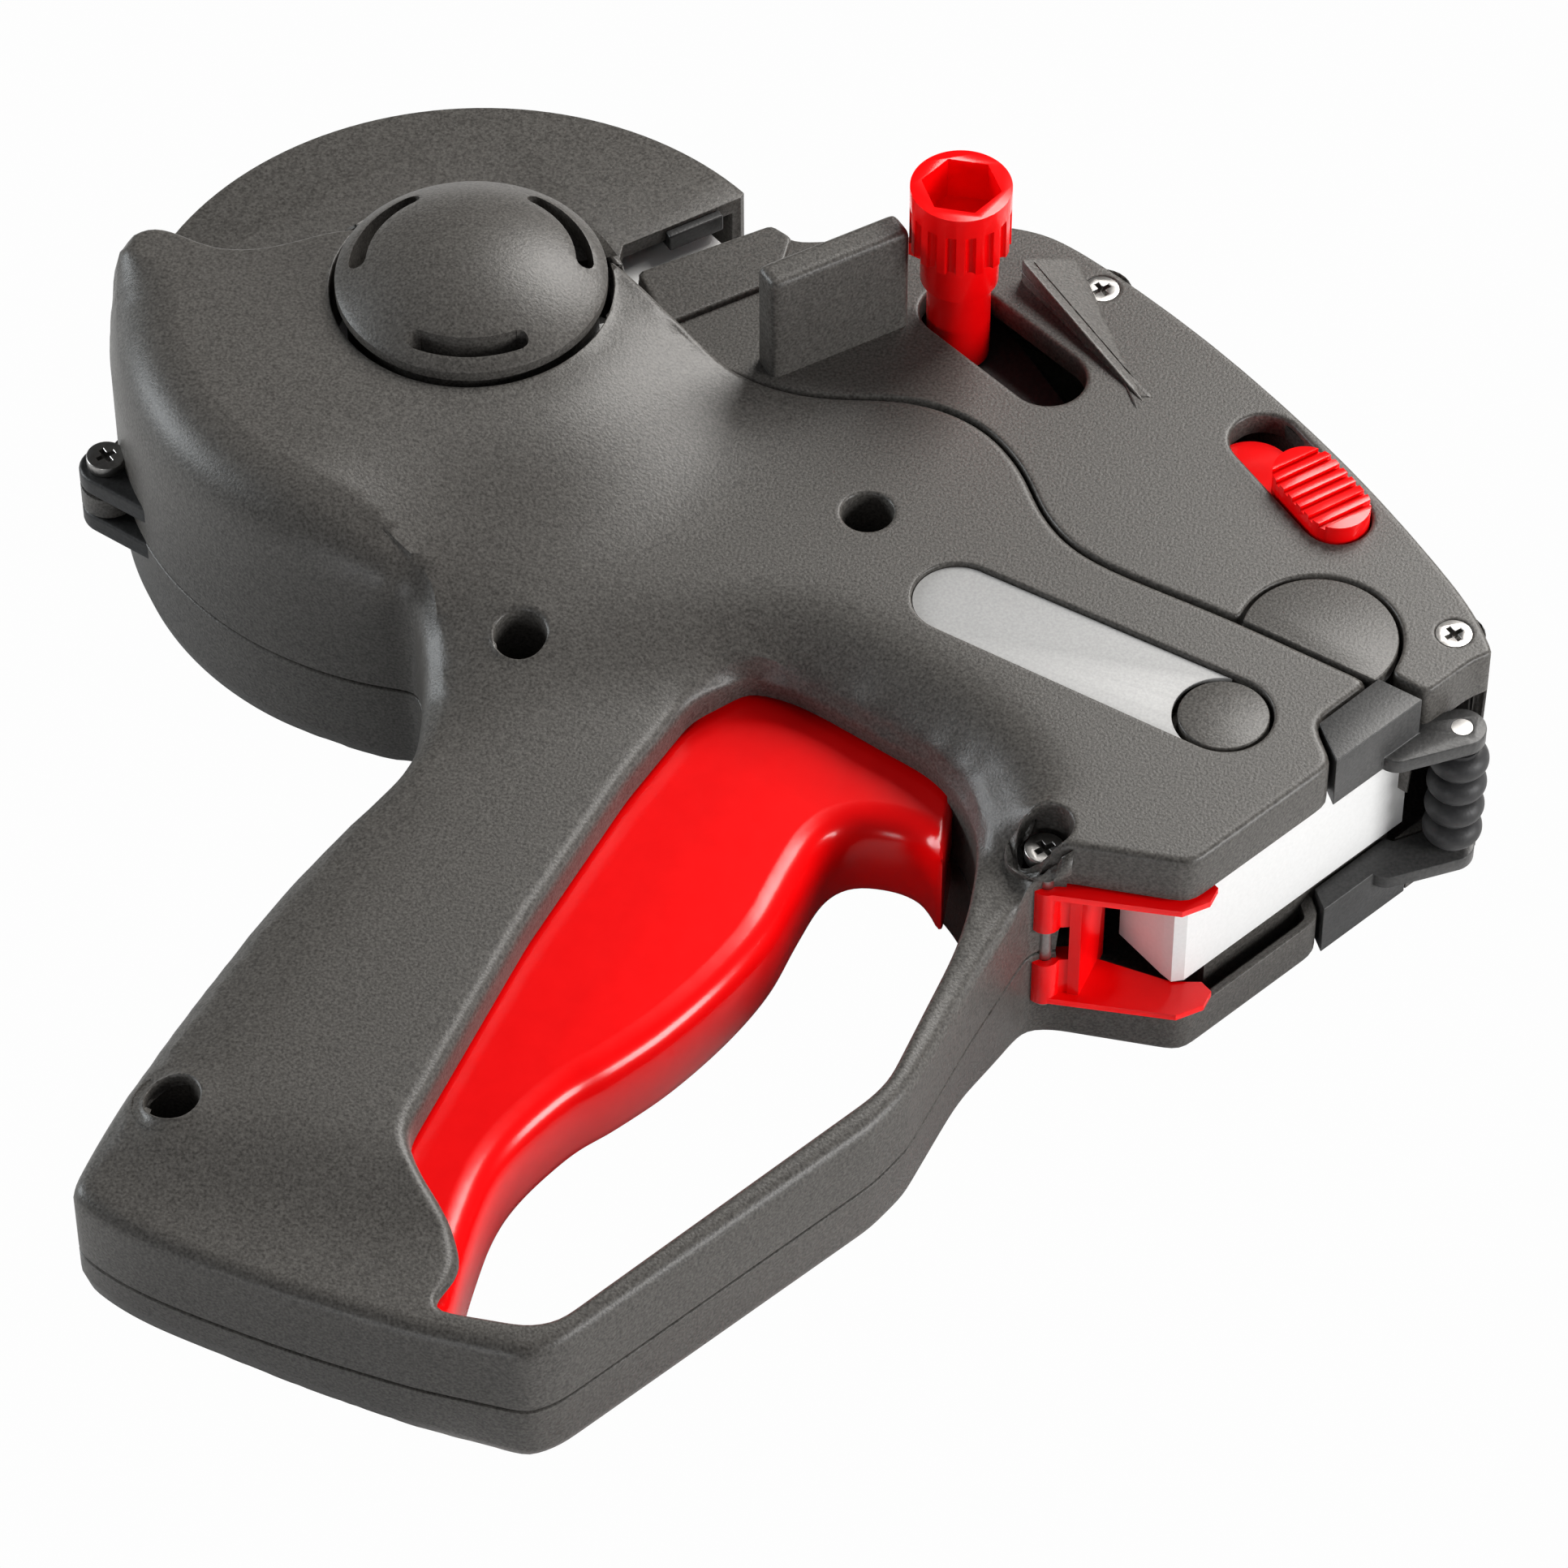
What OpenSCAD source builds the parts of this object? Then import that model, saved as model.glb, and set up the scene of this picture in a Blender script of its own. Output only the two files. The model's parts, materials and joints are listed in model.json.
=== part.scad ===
// Hand-held price labeler, lying on its left side.
// X runs forward to the nose, Y from the grip up to the head, Z across the gun, away from the table.
// Plan points are measured from the middle of the web path; z = 0 is the middle of the label web.

/* [Label stock] */
// Width of the label web
web_w = 20; // [16:1:22]
// Drawn thickness of the web
web_t = 0.3; // [0.2:0.05:0.4]
// Clearance between a full label roll and the roll cover
roll_clear = 3.5; // [2:0.5:12]
// Outer radius of the roll's cardboard core
core_r = 16; // [15:0.5:20]

/* [Casing] */
// Half width of the head, from the middle plane to each outer face
head_half = 20; // [19:0.5:24]
// Wall thickness of the shells and covers
wall = 2.5; // [2:0.1:3]
// Visible gap at the seams between casing pieces
seam_gap = 0.5; // [0.3:0.1:0.8]
// Distance of the parting plane to the left of the middle plane
parting = 2; // [0:0.5:4]
// Inclination of the front face
front_tilt = 54.5; // [52:0.5:57]
// Radius of the shell screw holes
hole_r = 3.7; // [3.2:0.1:4]

/* [Roll housing] */
// Outer radius of the roll housing
drum_r = 52; // [51:0.5:55]
// Step from the housing down to the roll cover's rim
lid_step = 2; // [1:0.5:3]
// Height of the raised right face over the middle plane
raised_face = 27.5; // [26:0.5:30]
// Edge rounding of the raised right face
raised_round = 11; // [6:0.5:11.5]
// Edge rounding of the flat left face
flat_round = 6; // [4:0.5:7]
// Half width of the roll cover
lid_half = 15; // [14.5:0.1:15.5]
// Radius of the domed hub cap
cap_r = 19.4; // [19:0.1:22]
// Height of the dome over its rim
dome_h = 6; // [3:0.5:7]
// Width of the arc slots in the dome
arc_slot_w = 2.5; // [2:0.1:3]

/* [Grip] */
// Length of the grip below the head
grip_len = 92; // [86:1:100]
// Width of the guard and of the grip's edges to the right of the middle plane
guard_half = 10.5; // [10:0.1:12]
// The same to the left
guard_left = 13; // [12:0.1:14]
// Half width of the grip at its crown
grip_crown = 14.5; // [13:0.5:16]

/* [Trigger] */
// Half width of the trigger
trigger_half = 8; // [7:0.2:8.4]
// Wall of the hollow trigger
trigger_wall = 2.4; // [2:0.1:3]
// Radius of the trigger's pins
trigger_pin_r = 1.5; // [1.2:0.1:1.8]
// Angle the trigger turns when it is squeezed
trigger_swing = 10; // [6:0.5:11]
// Wire diameter of the return spring
spring_wire = 0.8; // [0.6:0.1:0.9]

/* [Print head] */
// Number of type bands
bands = 6; // [4:1:7]
// Width of one type band
band_w = 2.5; // [2:0.1:2.6]
// Thickness of a type band
band_t = 0.8; // [0.6:0.1:1]
// Stroke of the print head
stroke = 15; // [10:0.5:16]
// Radius of the guide rods
rod_r = 2; // [1.5:0.1:2.2]

/* [Controls] */
// Diameter of the selector knob
knob_d = 14.5; // [13:0.5:16]
// Height of the fluted part of the knob
knob_h = 10.7; // [9:0.1:14]
// Number of flutes round the knob
flutes = 16; // [12:1:20]
// Width across flats of the knob's socket
socket_w = 10; // [8:0.1:10.4]
// Depth of the knob's socket
socket_depth = 7; // [5:0.5:7.5]
// Radius of the selector shaft
shaft_r = 2.5; // [2:0.1:3]
// Width of the knob's slot in the cover
slot_w = 11; // [10.5:0.1:12]
// Radius of the release button
button_r = 6.3; // [5.5:0.1:6.4]
// Width of the sliding button
slider_w = 9.4; // [8:0.1:9.6]

/* [Nose] */
// Radius of the apply roller over its rings
roller_r = 4.2; // [3.6:0.1:4.6]
// Number of rings on the apply roller
rings = 4; // [3:1:5]
// Radius of the roller axles
axle_r = 1.5; // [1.2:0.1:1.8]
// Thickness of the platen
platen_t = 4; // [3:0.2:4.4]
// Radius of the feed wheel
feed_r = 5.5; // [4.5:0.1:5.6]

/* [Fits] */
// Radial clearance of a running fit
run_fit = 0.05; // [0.03:0.01:0.08]
// Clearance between pieces that move past each other
free_gap = 0.4; // [0.3:0.05:0.6]

/* [Hidden] */
$fn = 64;

shell_grey = "#4a4947";
black = "#1d1d1e";
red = "#e01410";
stripe_grey = "#a9aaab";
steel = "#b9bcc0";
paper = "#f4f4f2";

// Across the gun
web_half = web_w / 2;
inner_half = head_half - wall;
channel_half = web_half + 0.8;
lid_gap = lid_half + free_gap;
lid_r = drum_r - lid_step;
roll_r = lid_r - wall - roll_clear;

// Depths behind the front face
platen_face = 4;
platen_back = platen_face + platen_t;
// Radius of the print foot the bands run round
foot_r = 6;

// Reference points in plan
front_foot = [60, -20];
drum_at = [-58, 59.5];
lug_at = drum_at + (drum_r + 2.34) * unit(206.8);
lug_r = 4;
knob_at = on_front(49.1, 97.4);
roller_at = on_front(49.1, -3.2);
// Radius of the eye round the roller's axle
eye_r = roller_r - 0.8;
gate_at = [40.5, -20];
trigger_at = grip(-21, 0.94);
lever_at = [18, 16];
cross_at = [2, 0];
feed_at = on_front(10.7, platen_back + feed_r + 1.4);
ink_at = on_front(46, 17.7);
web_guide_at = [22, 25.7];
foot_at = on_front(33, platen_back + web_t + stroke + foot_r + band_t + 0.5);
nose_tip = [94.4, 26.2];

function unit(a) = [cos(a), sin(a)];
function heading(v) = atan2(v[1], v[0]);
// A point u along the front face from its foot and d behind it
function on_front(u, d) = front_foot + u * unit(front_tilt) + d * unit(front_tilt + 90);
// A point x forward and a share f of the grip's length below the head
function grip(x, f) = [x, front_foot[1] - f * grip_len];
function flip(p) = [for (i = [len(p) - 1:-1:0]) p[i]];
function raise(p, z) = [for (q = p) [q[0], q[1], z]];
function arc(c, r, a0, a1, n) = [for (i = [0:n]) c + r * unit(a0 + (a1 - a0) * i / n)];
function blend(a, b, c, d, s) =
    b + 0.5 * s * (c - a + s * (2 * a - 5 * b + 4 * c - d + s * (3 * (b - c) + d - a)));
// Smooth curve through hand-set points, n steps between two of them
function spline(p, n) = [
    for (i = [0:len(p) - 2])
        for (j = [0:n - 1])
            blend(p[max(i - 1, 0)], p[i], p[i + 1], p[min(i + 2, len(p) - 1)], j / n),
    p[len(p) - 1]];
function edge_out(a, b) = let (v = (b - a) / norm(b - a)) [v[1], -v[0]];
// Anticlockwise outline moved inwards by w
function inset(p, w) = [
    for (i = [0:len(p) - 1])
        let (a = p[(i + len(p) - 1) % len(p)],
            c = p[(i + 1) % len(p)],
            m = edge_out(a, p[i]) + edge_out(p[i], c))
            p[i] - 2 * w * m / (m * m)];
// Both sides of a strip of thickness t along an open path
function strip_side(p, t) = [
    for (i = [0:len(p) - 1])
        let (a = p[max(i - 1, 0)], c = p[min(i + 1, len(p) - 1)])
            p[i] + t / 2 * edge_out(a, c)];
function strip(p, t) = concat(strip_side(p, t), flip(strip_side(p, -t)));

// Outlines in plan
seam = spline([[-31.4, 63.2], [-21.4, 57.5], [-8.6, 55.4], [5.9, 57.2], [15.9, 54.7], [23.2, 48.2],
    [29.5, 38.2], [37.7, 32], [57.7, 25.3], on_front(43, 0)], 4);
top_edge = spline([[-16.5, 85.8], [-3, 89.5], [8, 93.8], [14.1, 95.3], [24.1, 92.5], [45.9, 77.9],
    [68.6, 58.2], [87.7, 37.3], nose_tip], 4);
nose_foot = on_front(55, 0);
block_edge = [[-20.5, 87.7], [-38, 73.6]];
cover_outline = concat([nose_foot], flip(top_edge), block_edge, seam);
crease = [[40.5, -20], [35, -12], [25.5, -0.5], [14, 6.5], [0, 13], [-20, 14.5], [-40, 15], [-60, 20]];
deck_outline = concat([front_foot], flip(seam), [[-41, 70], [-58, 62], [-75, 40]], flip(crease));
head_outline = concat([front_foot, nose_foot], flip(top_edge), block_edge,
    [[-34, 66], [-46, 45], [-48, 15], [-20, 14.5], [0, 14.5], [14, 8], [25, -0.5], [35, -10.5], [42, -20]]);
window_rim = [[-7, 10.3], [-14.5, 3.2], [-20, -15], grip(-27.3, 0.252), grip(-34.3, 0.647),
    grip(-33.6, 0.687), grip(-30.9, 0.732), grip(-26.4, 0.786), grip(-23.2, 0.845), grip(-23.2, 0.937)];
window_outline = concat(window_rim, [grip(-10.9, 0.937), grip(-7.3, 0.918), grip(24.5, 0.435),
    grip(28.6, 0.252), grip(30.5, 0.13), grip(31, 0.02), [29.8, -13.6], [23.7, -2.4], [14.8, 2.4], [1.2, 8.5]]);
guard_edge = [[42, -19.6], [38.6, -21.5], grip(33.6, 0.212), grip(29.1, 0.42), grip(25.9, 0.489),
    grip(9.1, 0.736), grip(-6.4, 0.963), grip(-9, 0.993)];
grip_rear = [grip(-74.5, 0.826), grip(-71.8, 0.677), grip(-67.7, 0.5), grip(-63.2, 0.341),
    grip(-58.2, 0.192), grip(-52.7, 0.074), [-48.5, -17]];
grip_base = [grip(-25.5, 0.984), grip(-43.6, 0.953), grip(-63, 0.904), grip(-72.5, 0.859)];
grip_outline = concat(guard_edge, grip_base, grip_rear, [[-50, -5], [-57, 9.6], [-60, 30], [-10, 35], [44, 0]]);
raised_edge = [[-130, 60.5], [-109, 61.5], [-104.3, 62.2], [-100.9, 61.2], [-95.7, 59.8], [-89.5, 60.9],
    [-83.2, 64.5], [-80.3, 66.4], [-72, 69], [-58, 62], [-41, 70]];
lid_front = [drum_at + (lid_r - 20.5) * unit(56.7), drum_at + (lid_r - 1) * unit(51)];
hub_post_r = 18;
spindle_r = core_r - 3.3;

// Middle of the whole gun in plan
nose_x = max([for (p = inset(cover_outline, seam_gap / 2)) p[0]]);
base_y = min([for (p = grip_outline) p[1]]);
middle = [(lug_at[0] - lug_r + max(nose_x, roller_at[0] + roller_r)) / 2, (base_y + drum_at[1] + lid_r) / 2];

module placed() {
    translate([-middle[0], -middle[1], head_half]) children();
}

// Flat piece between two heights
module slab(z0, z1) {
    translate([0, 0, z0]) linear_extrude(z1 - z0) children();
}

module post(at, r, z0, z1) {
    translate([at[0], at[1], z0]) cylinder(r = r, h = z1 - z0);
}

// Two discs joined by straight sides, which stay a hair inside the common tangents
module strap(a, b, ra, rb) {
    lean = atan2(b[1] - a[1], b[0] - a[0]);
    spread = acos((ra - rb) / norm(b - a));
    hair = 0.998;
    translate(a) circle(ra);
    translate(b) circle(rb);
    polygon([a + hair * ra * unit(lean + spread), a + hair * ra * unit(lean - spread),
        b + hair * rb * unit(lean - spread), b + hair * rb * unit(lean + spread)]);
}

// Solid under a sloping band between two edges given in space, down to a flat floor
module ramp(high, low, floor_z) {
    n = len(high);
    bed = function (p) raise(p, floor_z);
    rows = [high, low, bed(low), bed(high)];
    sides = [
        for (k = [0:3])
            for (i = [0:n - 2])
                let (a = k * n + i, b = (k + 1) % 4 * n + i)
                    each [[a, b, a + 1], [a + 1, b, b + 1]]];
    ends = [[0, 2 * n, n], [0, 3 * n, 2 * n], [n - 1, 2 * n - 1, 3 * n - 1], [n - 1, 3 * n - 1, 4 * n - 1]];
    polyhedron(concat(rows[0], rows[1], rows[2], rows[3]), concat(sides, ends));
}

// Half section of the roll housing with a rounded edge
module drum(r, z0, face, round) {
    translate(drum_at)
        translate([0, 0, z0])
            rotate_extrude($fn = 128)
                polygon(concat(
                    [[0, 0], [r, 0]],
                    arc([r - round, face - z0 - round], round, 0, 90, 8),
                    [[0, face - z0]]));
}

// Where the roll cover's wall closes the housing
module lid_sector(r) {
    polygon(concat([drum_at], arc(drum_at, r, 43, 203, 16)));
}

// Everything above the raised edge of a body shell
module lid_side() {
    polygon(concat(raised_edge, seam, [[60, 130], [-130, 130]]));
}

boss_at = [[4.5, 34.7], [-38, 4], grip(-64.5, 0.675)];
boss_r = hole_r + 1.4;
// Crown line and rear edge of the grip
crown = [[-36, -12], grip(-46, 0.33), grip(-54, 0.7), grip(-56, 0.83)];
rear = [[-49, -12], grip(-61, 0.33), grip(-70.6, 0.7), grip(-72, 0.83)];
function crown_edge(edge) = [
    for (i = [0:3])
        concat(crown[i], i < 2 ? grip_crown : i < 3 ? max(grip_crown - 1, edge) : edge)];
boss_floor = 2.5;
gate_screw_at = [39.5, -16.8];

// The raised face slopes down to the deck in front of the hub
slope_from = drum_at[0] + 17;
slope = atan2(raised_face - head_half, 16);
gate_half = web_half + 1.4;
gate_pin_r = 1.1;
knuckle_half = 3;
arm_half = [channel_half + 0.1, channel_half + 2.4];
lid_rim_end = drum_at + (lid_r - wall / 2) * unit(198);
lug_half = 5.3;
lug_gap = 2.2;

// Where the gate's cheeks lie and swing out
module gate_room() {
    polygon([[42.4, -26], [66, -26], [66, -12], [56, -12.2], [47, -10.5], [42.4, -12]]);
}

module gate_knuckle() {
    translate(gate_at) circle(gate_pin_r * 2);
    translate(gate_at + [-4, -1.4]) square([4.5, 3.6]);
}

// Arm from the nose bracket to the apply roller's axle
module bracket_arm(grow) {
    strap(on_front(40, 0.4), roller_at, 3 + grow, eye_r + grow);
}

module front_channel() {
    polygon([[42.8, -26], [64, -26], on_front(58, -8), on_front(58, 13), on_front(10, 13), [42.8, -6]]);
}

module bracket_outline(grow) {
    polygon(inset([on_front(25.6, -3), on_front(45, -3), on_front(42.5, 7), on_front(30.4, 6.7)], -grow));
}

// One half of the casing: deck, roll housing, grip and guard, from its parting plane outwards
module body_half(floor_z, face, round, edge) {
    difference() {
        union() {
            slab(floor_z, edge) difference() {
                polygon(grip_outline);
                polygon(window_outline);
            }
            slab(floor_z, head_half) polygon(deck_outline);
            ramp(raise(crease, head_half), [[37.5, -21.2, 12], [29.5, -14, 12], [23.3, -2.9, 12],
                [14.5, 1.9, 12], [1, 8, 12], [-11.5, 5.6, 12.5], concat(crown[0], grip_crown),
                concat(rear[0], edge)], floor_z);
            ramp(crown_edge(edge), [[-14.6, 2.4, edge + 1], concat(grip(-28.5, 0.33), edge + 1),
                concat(grip(-35.5, 0.67), edge + 1), concat(grip(-33, 0.83), edge)], floor_z);
            ramp(raise(rear, edge), crown_edge(edge), floor_z);
            difference() {
                drum(drum_r, floor_z, face, round);
                slab(floor_z - 1, face + 1) lid_side();
                translate([slope_from, -50, raised_face]) rotate([0, slope, 0]) cube([100, 200, 50]);
            }
            slab(lug_gap, lug_half) strap(lug_at, drum_at + 46 * unit(214), lug_r, 7);
            post(gate_screw_at, hole_r + 1, gate_half, head_half - 1.5);
            slab(max(floor_z, -knuckle_half), knuckle_half) gate_knuckle();
        }
        slab(floor_z - 1, inner_half) polygon(inset(head_outline, wall));
        drum(drum_r - wall, floor_z - 1, face - wall, round - wall);
        slab(floor_z - 1, lid_gap) lid_sector(drum_r + 12);
        slab(floor_z - 1, trigger_half + free_gap) grip_hollow();
        slab(floor_z - 1, channel_half) front_channel();
        slab(floor_z - 1, head_half + 1) bracket_outline(seam_gap / 2);
        post(gate_at, gate_pin_r, floor_z - 1, gate_half + 1.5);
        slab(floor_z - 1, gate_half + free_gap) gate_room();
        for (s = [knuckle_half, -gate_half - free_gap])
            slab(s, s + gate_half + free_gap - knuckle_half) translate(gate_at) circle(3.7);
        post(gate_screw_at, axle_r, gate_half, 14);
        slab(floor_z - 1, arm_half[1] + 0.3) bracket_arm(0.3);
        slab(floor_z - 1, lug_gap) strap(lug_at, lid_rim_end, lug_r + free_gap, 3);
        post(gate_screw_at, hole_r, 13, head_half + 1);
        post(drum_at, hub_post_r + 0.2, floor_z - 1, face + 1);
        post(lug_at, axle_r, 0, lid_half);
        post(lug_at, 3, lug_half, lid_half);
        post(trigger_at, trigger_pin_r, floor_z - 1, guard_half - 1.5);
    }
    difference() {
        post(drum_at, hub_post_r + 2, lid_half + 0.6, face);
        post(drum_at, hub_post_r + 0.2, lid_half, face + 1);
    }
}

// Room for the trigger inside the grip and behind the deck's sloping skirt
module grip_hollow() {
    shift = [1.5, 0];
    polygon(concat(
        [for (i = [1:len(window_rim) - 1]) window_rim[i] + shift],
        [grip(-27, 0.945), grip(-44, 0.915), grip(-66, 0.865), grip(-71, 0.8), grip(-68.6, 0.68),
            grip(-64.5, 0.505), grip(-60, 0.345), grip(-55, 0.2), grip(-49.5, 0.08), [-45, -14], [-44, 12],
            [-20, 22], [0, 22], [20, 14], [26, 2], [27, -8], [26.5, -18], [16, -18], [-10, -6]]));
    translate(trigger_at) circle(trigger_pin_r + 1.7);
}

module right_body_shell() {
    color(shell_grey) placed() difference() {
        union() {
            body_half(-parting, raised_face, raised_round, guard_half);
            for (b = boss_at)
                post(b, boss_r, -parting, boss_height(b));
        }
        for (b = boss_at) {
            post(b, hole_r, boss_floor - parting, raised_face);
            post(b, axle_r + 0.2, -parting - 1, raised_face);
        }
        slab(head_half - stripe_t, head_half + 1) stripe_outline(0);
        post(button_at, button_r + free_gap, inner_half - 1, head_half + 1);
    }
}

// Bosses reach the deck on the head and the thin wall on the grip
function boss_height(b) = b[1] > 20 ? head_half - 1 : b[1] > 0 ? grip_crown + 1 : guard_half;

module left_body_shell() {
    color(shell_grey) placed() mirror([0, 0, 1]) difference() {
        union() {
            body_half(parting, head_half, flat_round, guard_left);
            for (b = boss_at)
                post(b, boss_r, parting, min(boss_height(b), inner_half + 1));
        }
        for (b = boss_at)
            post(b, axle_r, parting - 1, parting + 7);
        post(lever_at, lever_shaft_r, inner_half - 0.01, inner_half + 1.2);
    }
}

button_at = [59.5, 7.7];
stripe_back = [20, 21.4];
stripe_t = 1.4;

module stripe_outline(trim) {
    strap(stripe_back, button_at, 6.5 - trim, 6.9 - trim);
}

module stripe_plate() {
    color(stripe_grey) placed() slab(head_half - stripe_t, head_half - stripe_t / 2) difference() {
        stripe_outline(0.15);
        translate(button_at) circle(6.9 + 0.2);
    }
}

module release_button() {
    color(shell_grey) placed() {
        post(button_at, button_r, inner_half - 2, head_half - 0.3);
        post(button_at, button_r + 1.3, inner_half - 3.2, inner_half - free_gap - 1.6);
    }
}

// Panel and outer wall of one head cover
module cover_half(floor_z) {
    difference() {
        slab(floor_z, head_half) polygon(inset(cover_outline, seam_gap / 2));
        slab(floor_z - 1, inner_half) polygon(inset(head_outline, wall));
        drum(drum_r - wall, floor_z - 1, lid_half + 0.6, 2);
        slab(floor_z - 1, channel_half) front_channel();
        slab(floor_z - 1, head_half + 1) bracket_outline(seam_gap / 2);
        slab(floor_z - 1, arm_half[1] + 0.3) bracket_arm(0.3);
        slab(floor_z - 1, lid_gap) lid_sector(lid_r);
    }
}

cover_screw_at = [[28.5, 85], [87.9, 28.9]];
slot_end = on_front(49.1, 79);
slider_slot = [[56.4, 60], [68.6, 47.3]];
tab_ends = [[-13.7, 60.5], [-0.2, 72.4]];
tab_top = 38.5;
ridge = [[39, 63, 0], [16.4, 84.5, 0], [16.4, 84.5, 4.2], [24, 90.4, 0]];
ledge = [[-31, 63.9], [-17, 76.2], [-16.9, 85.2], [-20.4, 87.1], [-37.2, 73.6]];
door_at = [70, 24.5];
door_r = 11;

module door_outline(trim) {
    intersection() {
        translate(door_at) circle(door_r - trim);
        polygon(inset(cover_outline, seam_gap / 2 + trim));
    }
}

module right_head_cover() {
    color(shell_grey) placed() difference() {
        union() {
            cover_half(-parting);
            slab(inner_half, tab_top) strap(tab_ends[0], tab_ends[1], 2.65, 2.65);
            translate([0, 0, head_half - 0.3]) polyhedron(ridge, [[0, 1, 2], [1, 3, 2], [0, 2, 3], [0, 3, 1]]);
            slab(inner_half, head_half + 0.9) polygon(ledge);
            for (s = cover_screw_at)
                post(s, 3.1, 8, inner_half + 1);
        }
        slab(inner_half - 1, tab_top) strap(knob_at, slot_end, slot_w / 2, slot_w / 2);
        slab(inner_half - 1, head_half + 1)
            strap(slider_slot[0], slider_slot[1], slider_w / 2 + 0.3, slider_w / 2 + 0.3);
        slab(inner_half - 1, head_half + 1) door_outline(0);
        for (s = cover_screw_at) {
            post(s, 2.8, head_half - 2, head_half + 9);
            post(s, axle_r, 7, head_half);
        }
    }
}

module left_head_cover() {
    color(shell_grey) placed() mirror([0, 0, 1]) cover_half(parting);
}

module ink_door() {
    color(shell_grey) placed() {
        slab(inner_half, head_half) door_outline(0.15);
        difference() {
            post(ink_at, axle_r + 1.6, inner_half - 5, inner_half + 0.5);
            post(ink_at, axle_r, inner_half - 6, inner_half);
        }
    }
}

// Flat cheek of the roll cover with room for the hub along its swing
module lid_cheek() {
    reach = norm(drum_at - lug_at);
    aim = atan2(drum_at[1] - lug_at[1], drum_at[0] - lug_at[0]);
    room = hub_post_r + 0.8;
    difference() {
        intersection() {
            translate(drum_at) circle(lid_r, $fn = 128);
            polygon(concat(
                [for (p = raised_edge) p + [0, 0.7]],
                [lid_front[0], lid_front[1], [-30, 130], [-130, 130]]));
        }
        translate(drum_at) circle(room);
        polygon(concat(
            arc(lug_at, reach - room, aim - 60, aim, 12),
            flip(arc(lug_at, reach + room, aim - 60, aim, 12))));
    }
}

module roll_cover() {
    color(shell_grey) placed() difference() {
        union() {
            for (z = [lid_half - wall, -lid_half])
                slab(z, z + wall) lid_cheek();
            slab(-lid_half, lid_half) difference() {
                intersection() {
                    translate(drum_at) circle(lid_r, $fn = 128);
                    polygon(concat([drum_at, lid_front[0], lid_front[1], [-20, 130], [-140, 130]],
                        [drum_at + 70 * unit(199)]));
                }
                translate(drum_at) circle(lid_r - wall, $fn = 128);
            }
            slab(free_gap - lug_gap, lug_gap - free_gap) strap(lug_at, lid_rim_end, lug_r, 2.4);
        }
        post(lug_at, axle_r + run_fit, -lid_half, lid_half);
    }
}

latch_lean = heading(lid_front[1] - lid_front[0]);
latch_at = lid_front[0] + 12 * unit(latch_lean) + 2 * unit(latch_lean + 90);
latch_t = 0.8;

// Catch at the front end of the roll cover: a tongue under the cheek with a raised lip
module roll_cover_latch() {
    color(black) placed() translate(latch_at) rotate(latch_lean) {
        slab(lid_half - wall - latch_t, lid_half - wall) translate([-5, -1.8]) square([9, 5]);
        slab(lid_half - wall - latch_t, lid_half - 0.4) translate([-5, -3.6]) square([9, 1.5]);
        slab(lid_half - wall - latch_t, lid_half - wall) translate([-5, -2.3]) square([9, 1]);
    }
}

module hub_spindle(top) {
    post(drum_at, spindle_r - run_fit, 0.3, web_half + 0.5);
    post(drum_at, hub_post_r, web_half + 0.4, top);
}

module right_roll_hub() {
    rim_z = raised_face + 1.8;
    dome_r = (cap_r * cap_r + dome_h * dome_h) / (2 * dome_h);
    slot_r = cap_r - 3.2;
    color(shell_grey) placed() difference() {
        union() {
            hub_spindle(raised_face + 0.5);
            post(drum_at, cap_r, raised_face + 0.3, rim_z);
            intersection() {
                post(drum_at, cap_r, rim_z - 1, rim_z + dome_h + 1);
                translate([drum_at[0], drum_at[1], rim_z + dome_h - dome_r]) sphere(dome_r, $fn = 128);
            }
        }
        for (a = [-78, 42, 162])
            slab(raised_face - 6, raised_face + 12) {
                difference() {
                    intersection() {
                        translate(drum_at) circle(slot_r + arc_slot_w / 2);
                        polygon([drum_at, drum_at + 40 * unit(a - 27), drum_at + 40 * unit(a + 27)]);
                    }
                    translate(drum_at) circle(slot_r - arc_slot_w / 2);
                }
                for (end = [-27, 27])
                    translate(drum_at + slot_r * unit(a + end)) circle(arc_slot_w / 2 - 0.1);
            }
        post(drum_at, spindle_r - 3, -1, raised_face);
    }
}

module left_roll_hub() {
    color(shell_grey) placed() mirror([0, 0, 1]) difference() {
        hub_spindle(head_half - 0.1);
        post(drum_at, spindle_r - 3, -1, head_half - wall);
    }
}

// Bracket of the nose: a plate set flush in the front corner, a shallow block and an eye for the axle
module nose_bracket() {
    reach = platen_face - 0.4;
    difference() {
        union() {
            slab(inner_half + 0.1, head_half) intersection() {
                bracket_outline(-seam_gap / 2);
                polygon([on_front(20, 0), on_front(50, 0), on_front(50, 12), on_front(20, 12)]);
            }
            slab(arm_half[0], inner_half + 0.2) intersection() {
                bracket_outline(-seam_gap / 2);
                polygon([on_front(20, 0), on_front(50, 0), on_front(50, reach), on_front(20, reach)]);
            }
            slab(arm_half[0], arm_half[1]) bracket_arm(0);
        }
        post(roller_at, axle_r, channel_half - 1, head_half + 1);
    }
}

module right_nose_bracket() {
    color(black) placed() nose_bracket();
}

module left_nose_bracket() {
    color(black) placed() mirror([0, 0, 1]) nose_bracket();
}

// Pan head, shank and cross recess, head seated at z0
module screw(at, head_r, z0, shank) {
    difference() {
        union() {
            post(at, head_r, z0, z0 + 1.9);
            post(at, axle_r, z0 - shank, z0 + 0.5);
        }
        for (a = [45, 135])
            translate([at[0], at[1], z0 + 1.4]) rotate(a) cube([2.8, 0.7, 1.4], center = true);
    }
}

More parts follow.
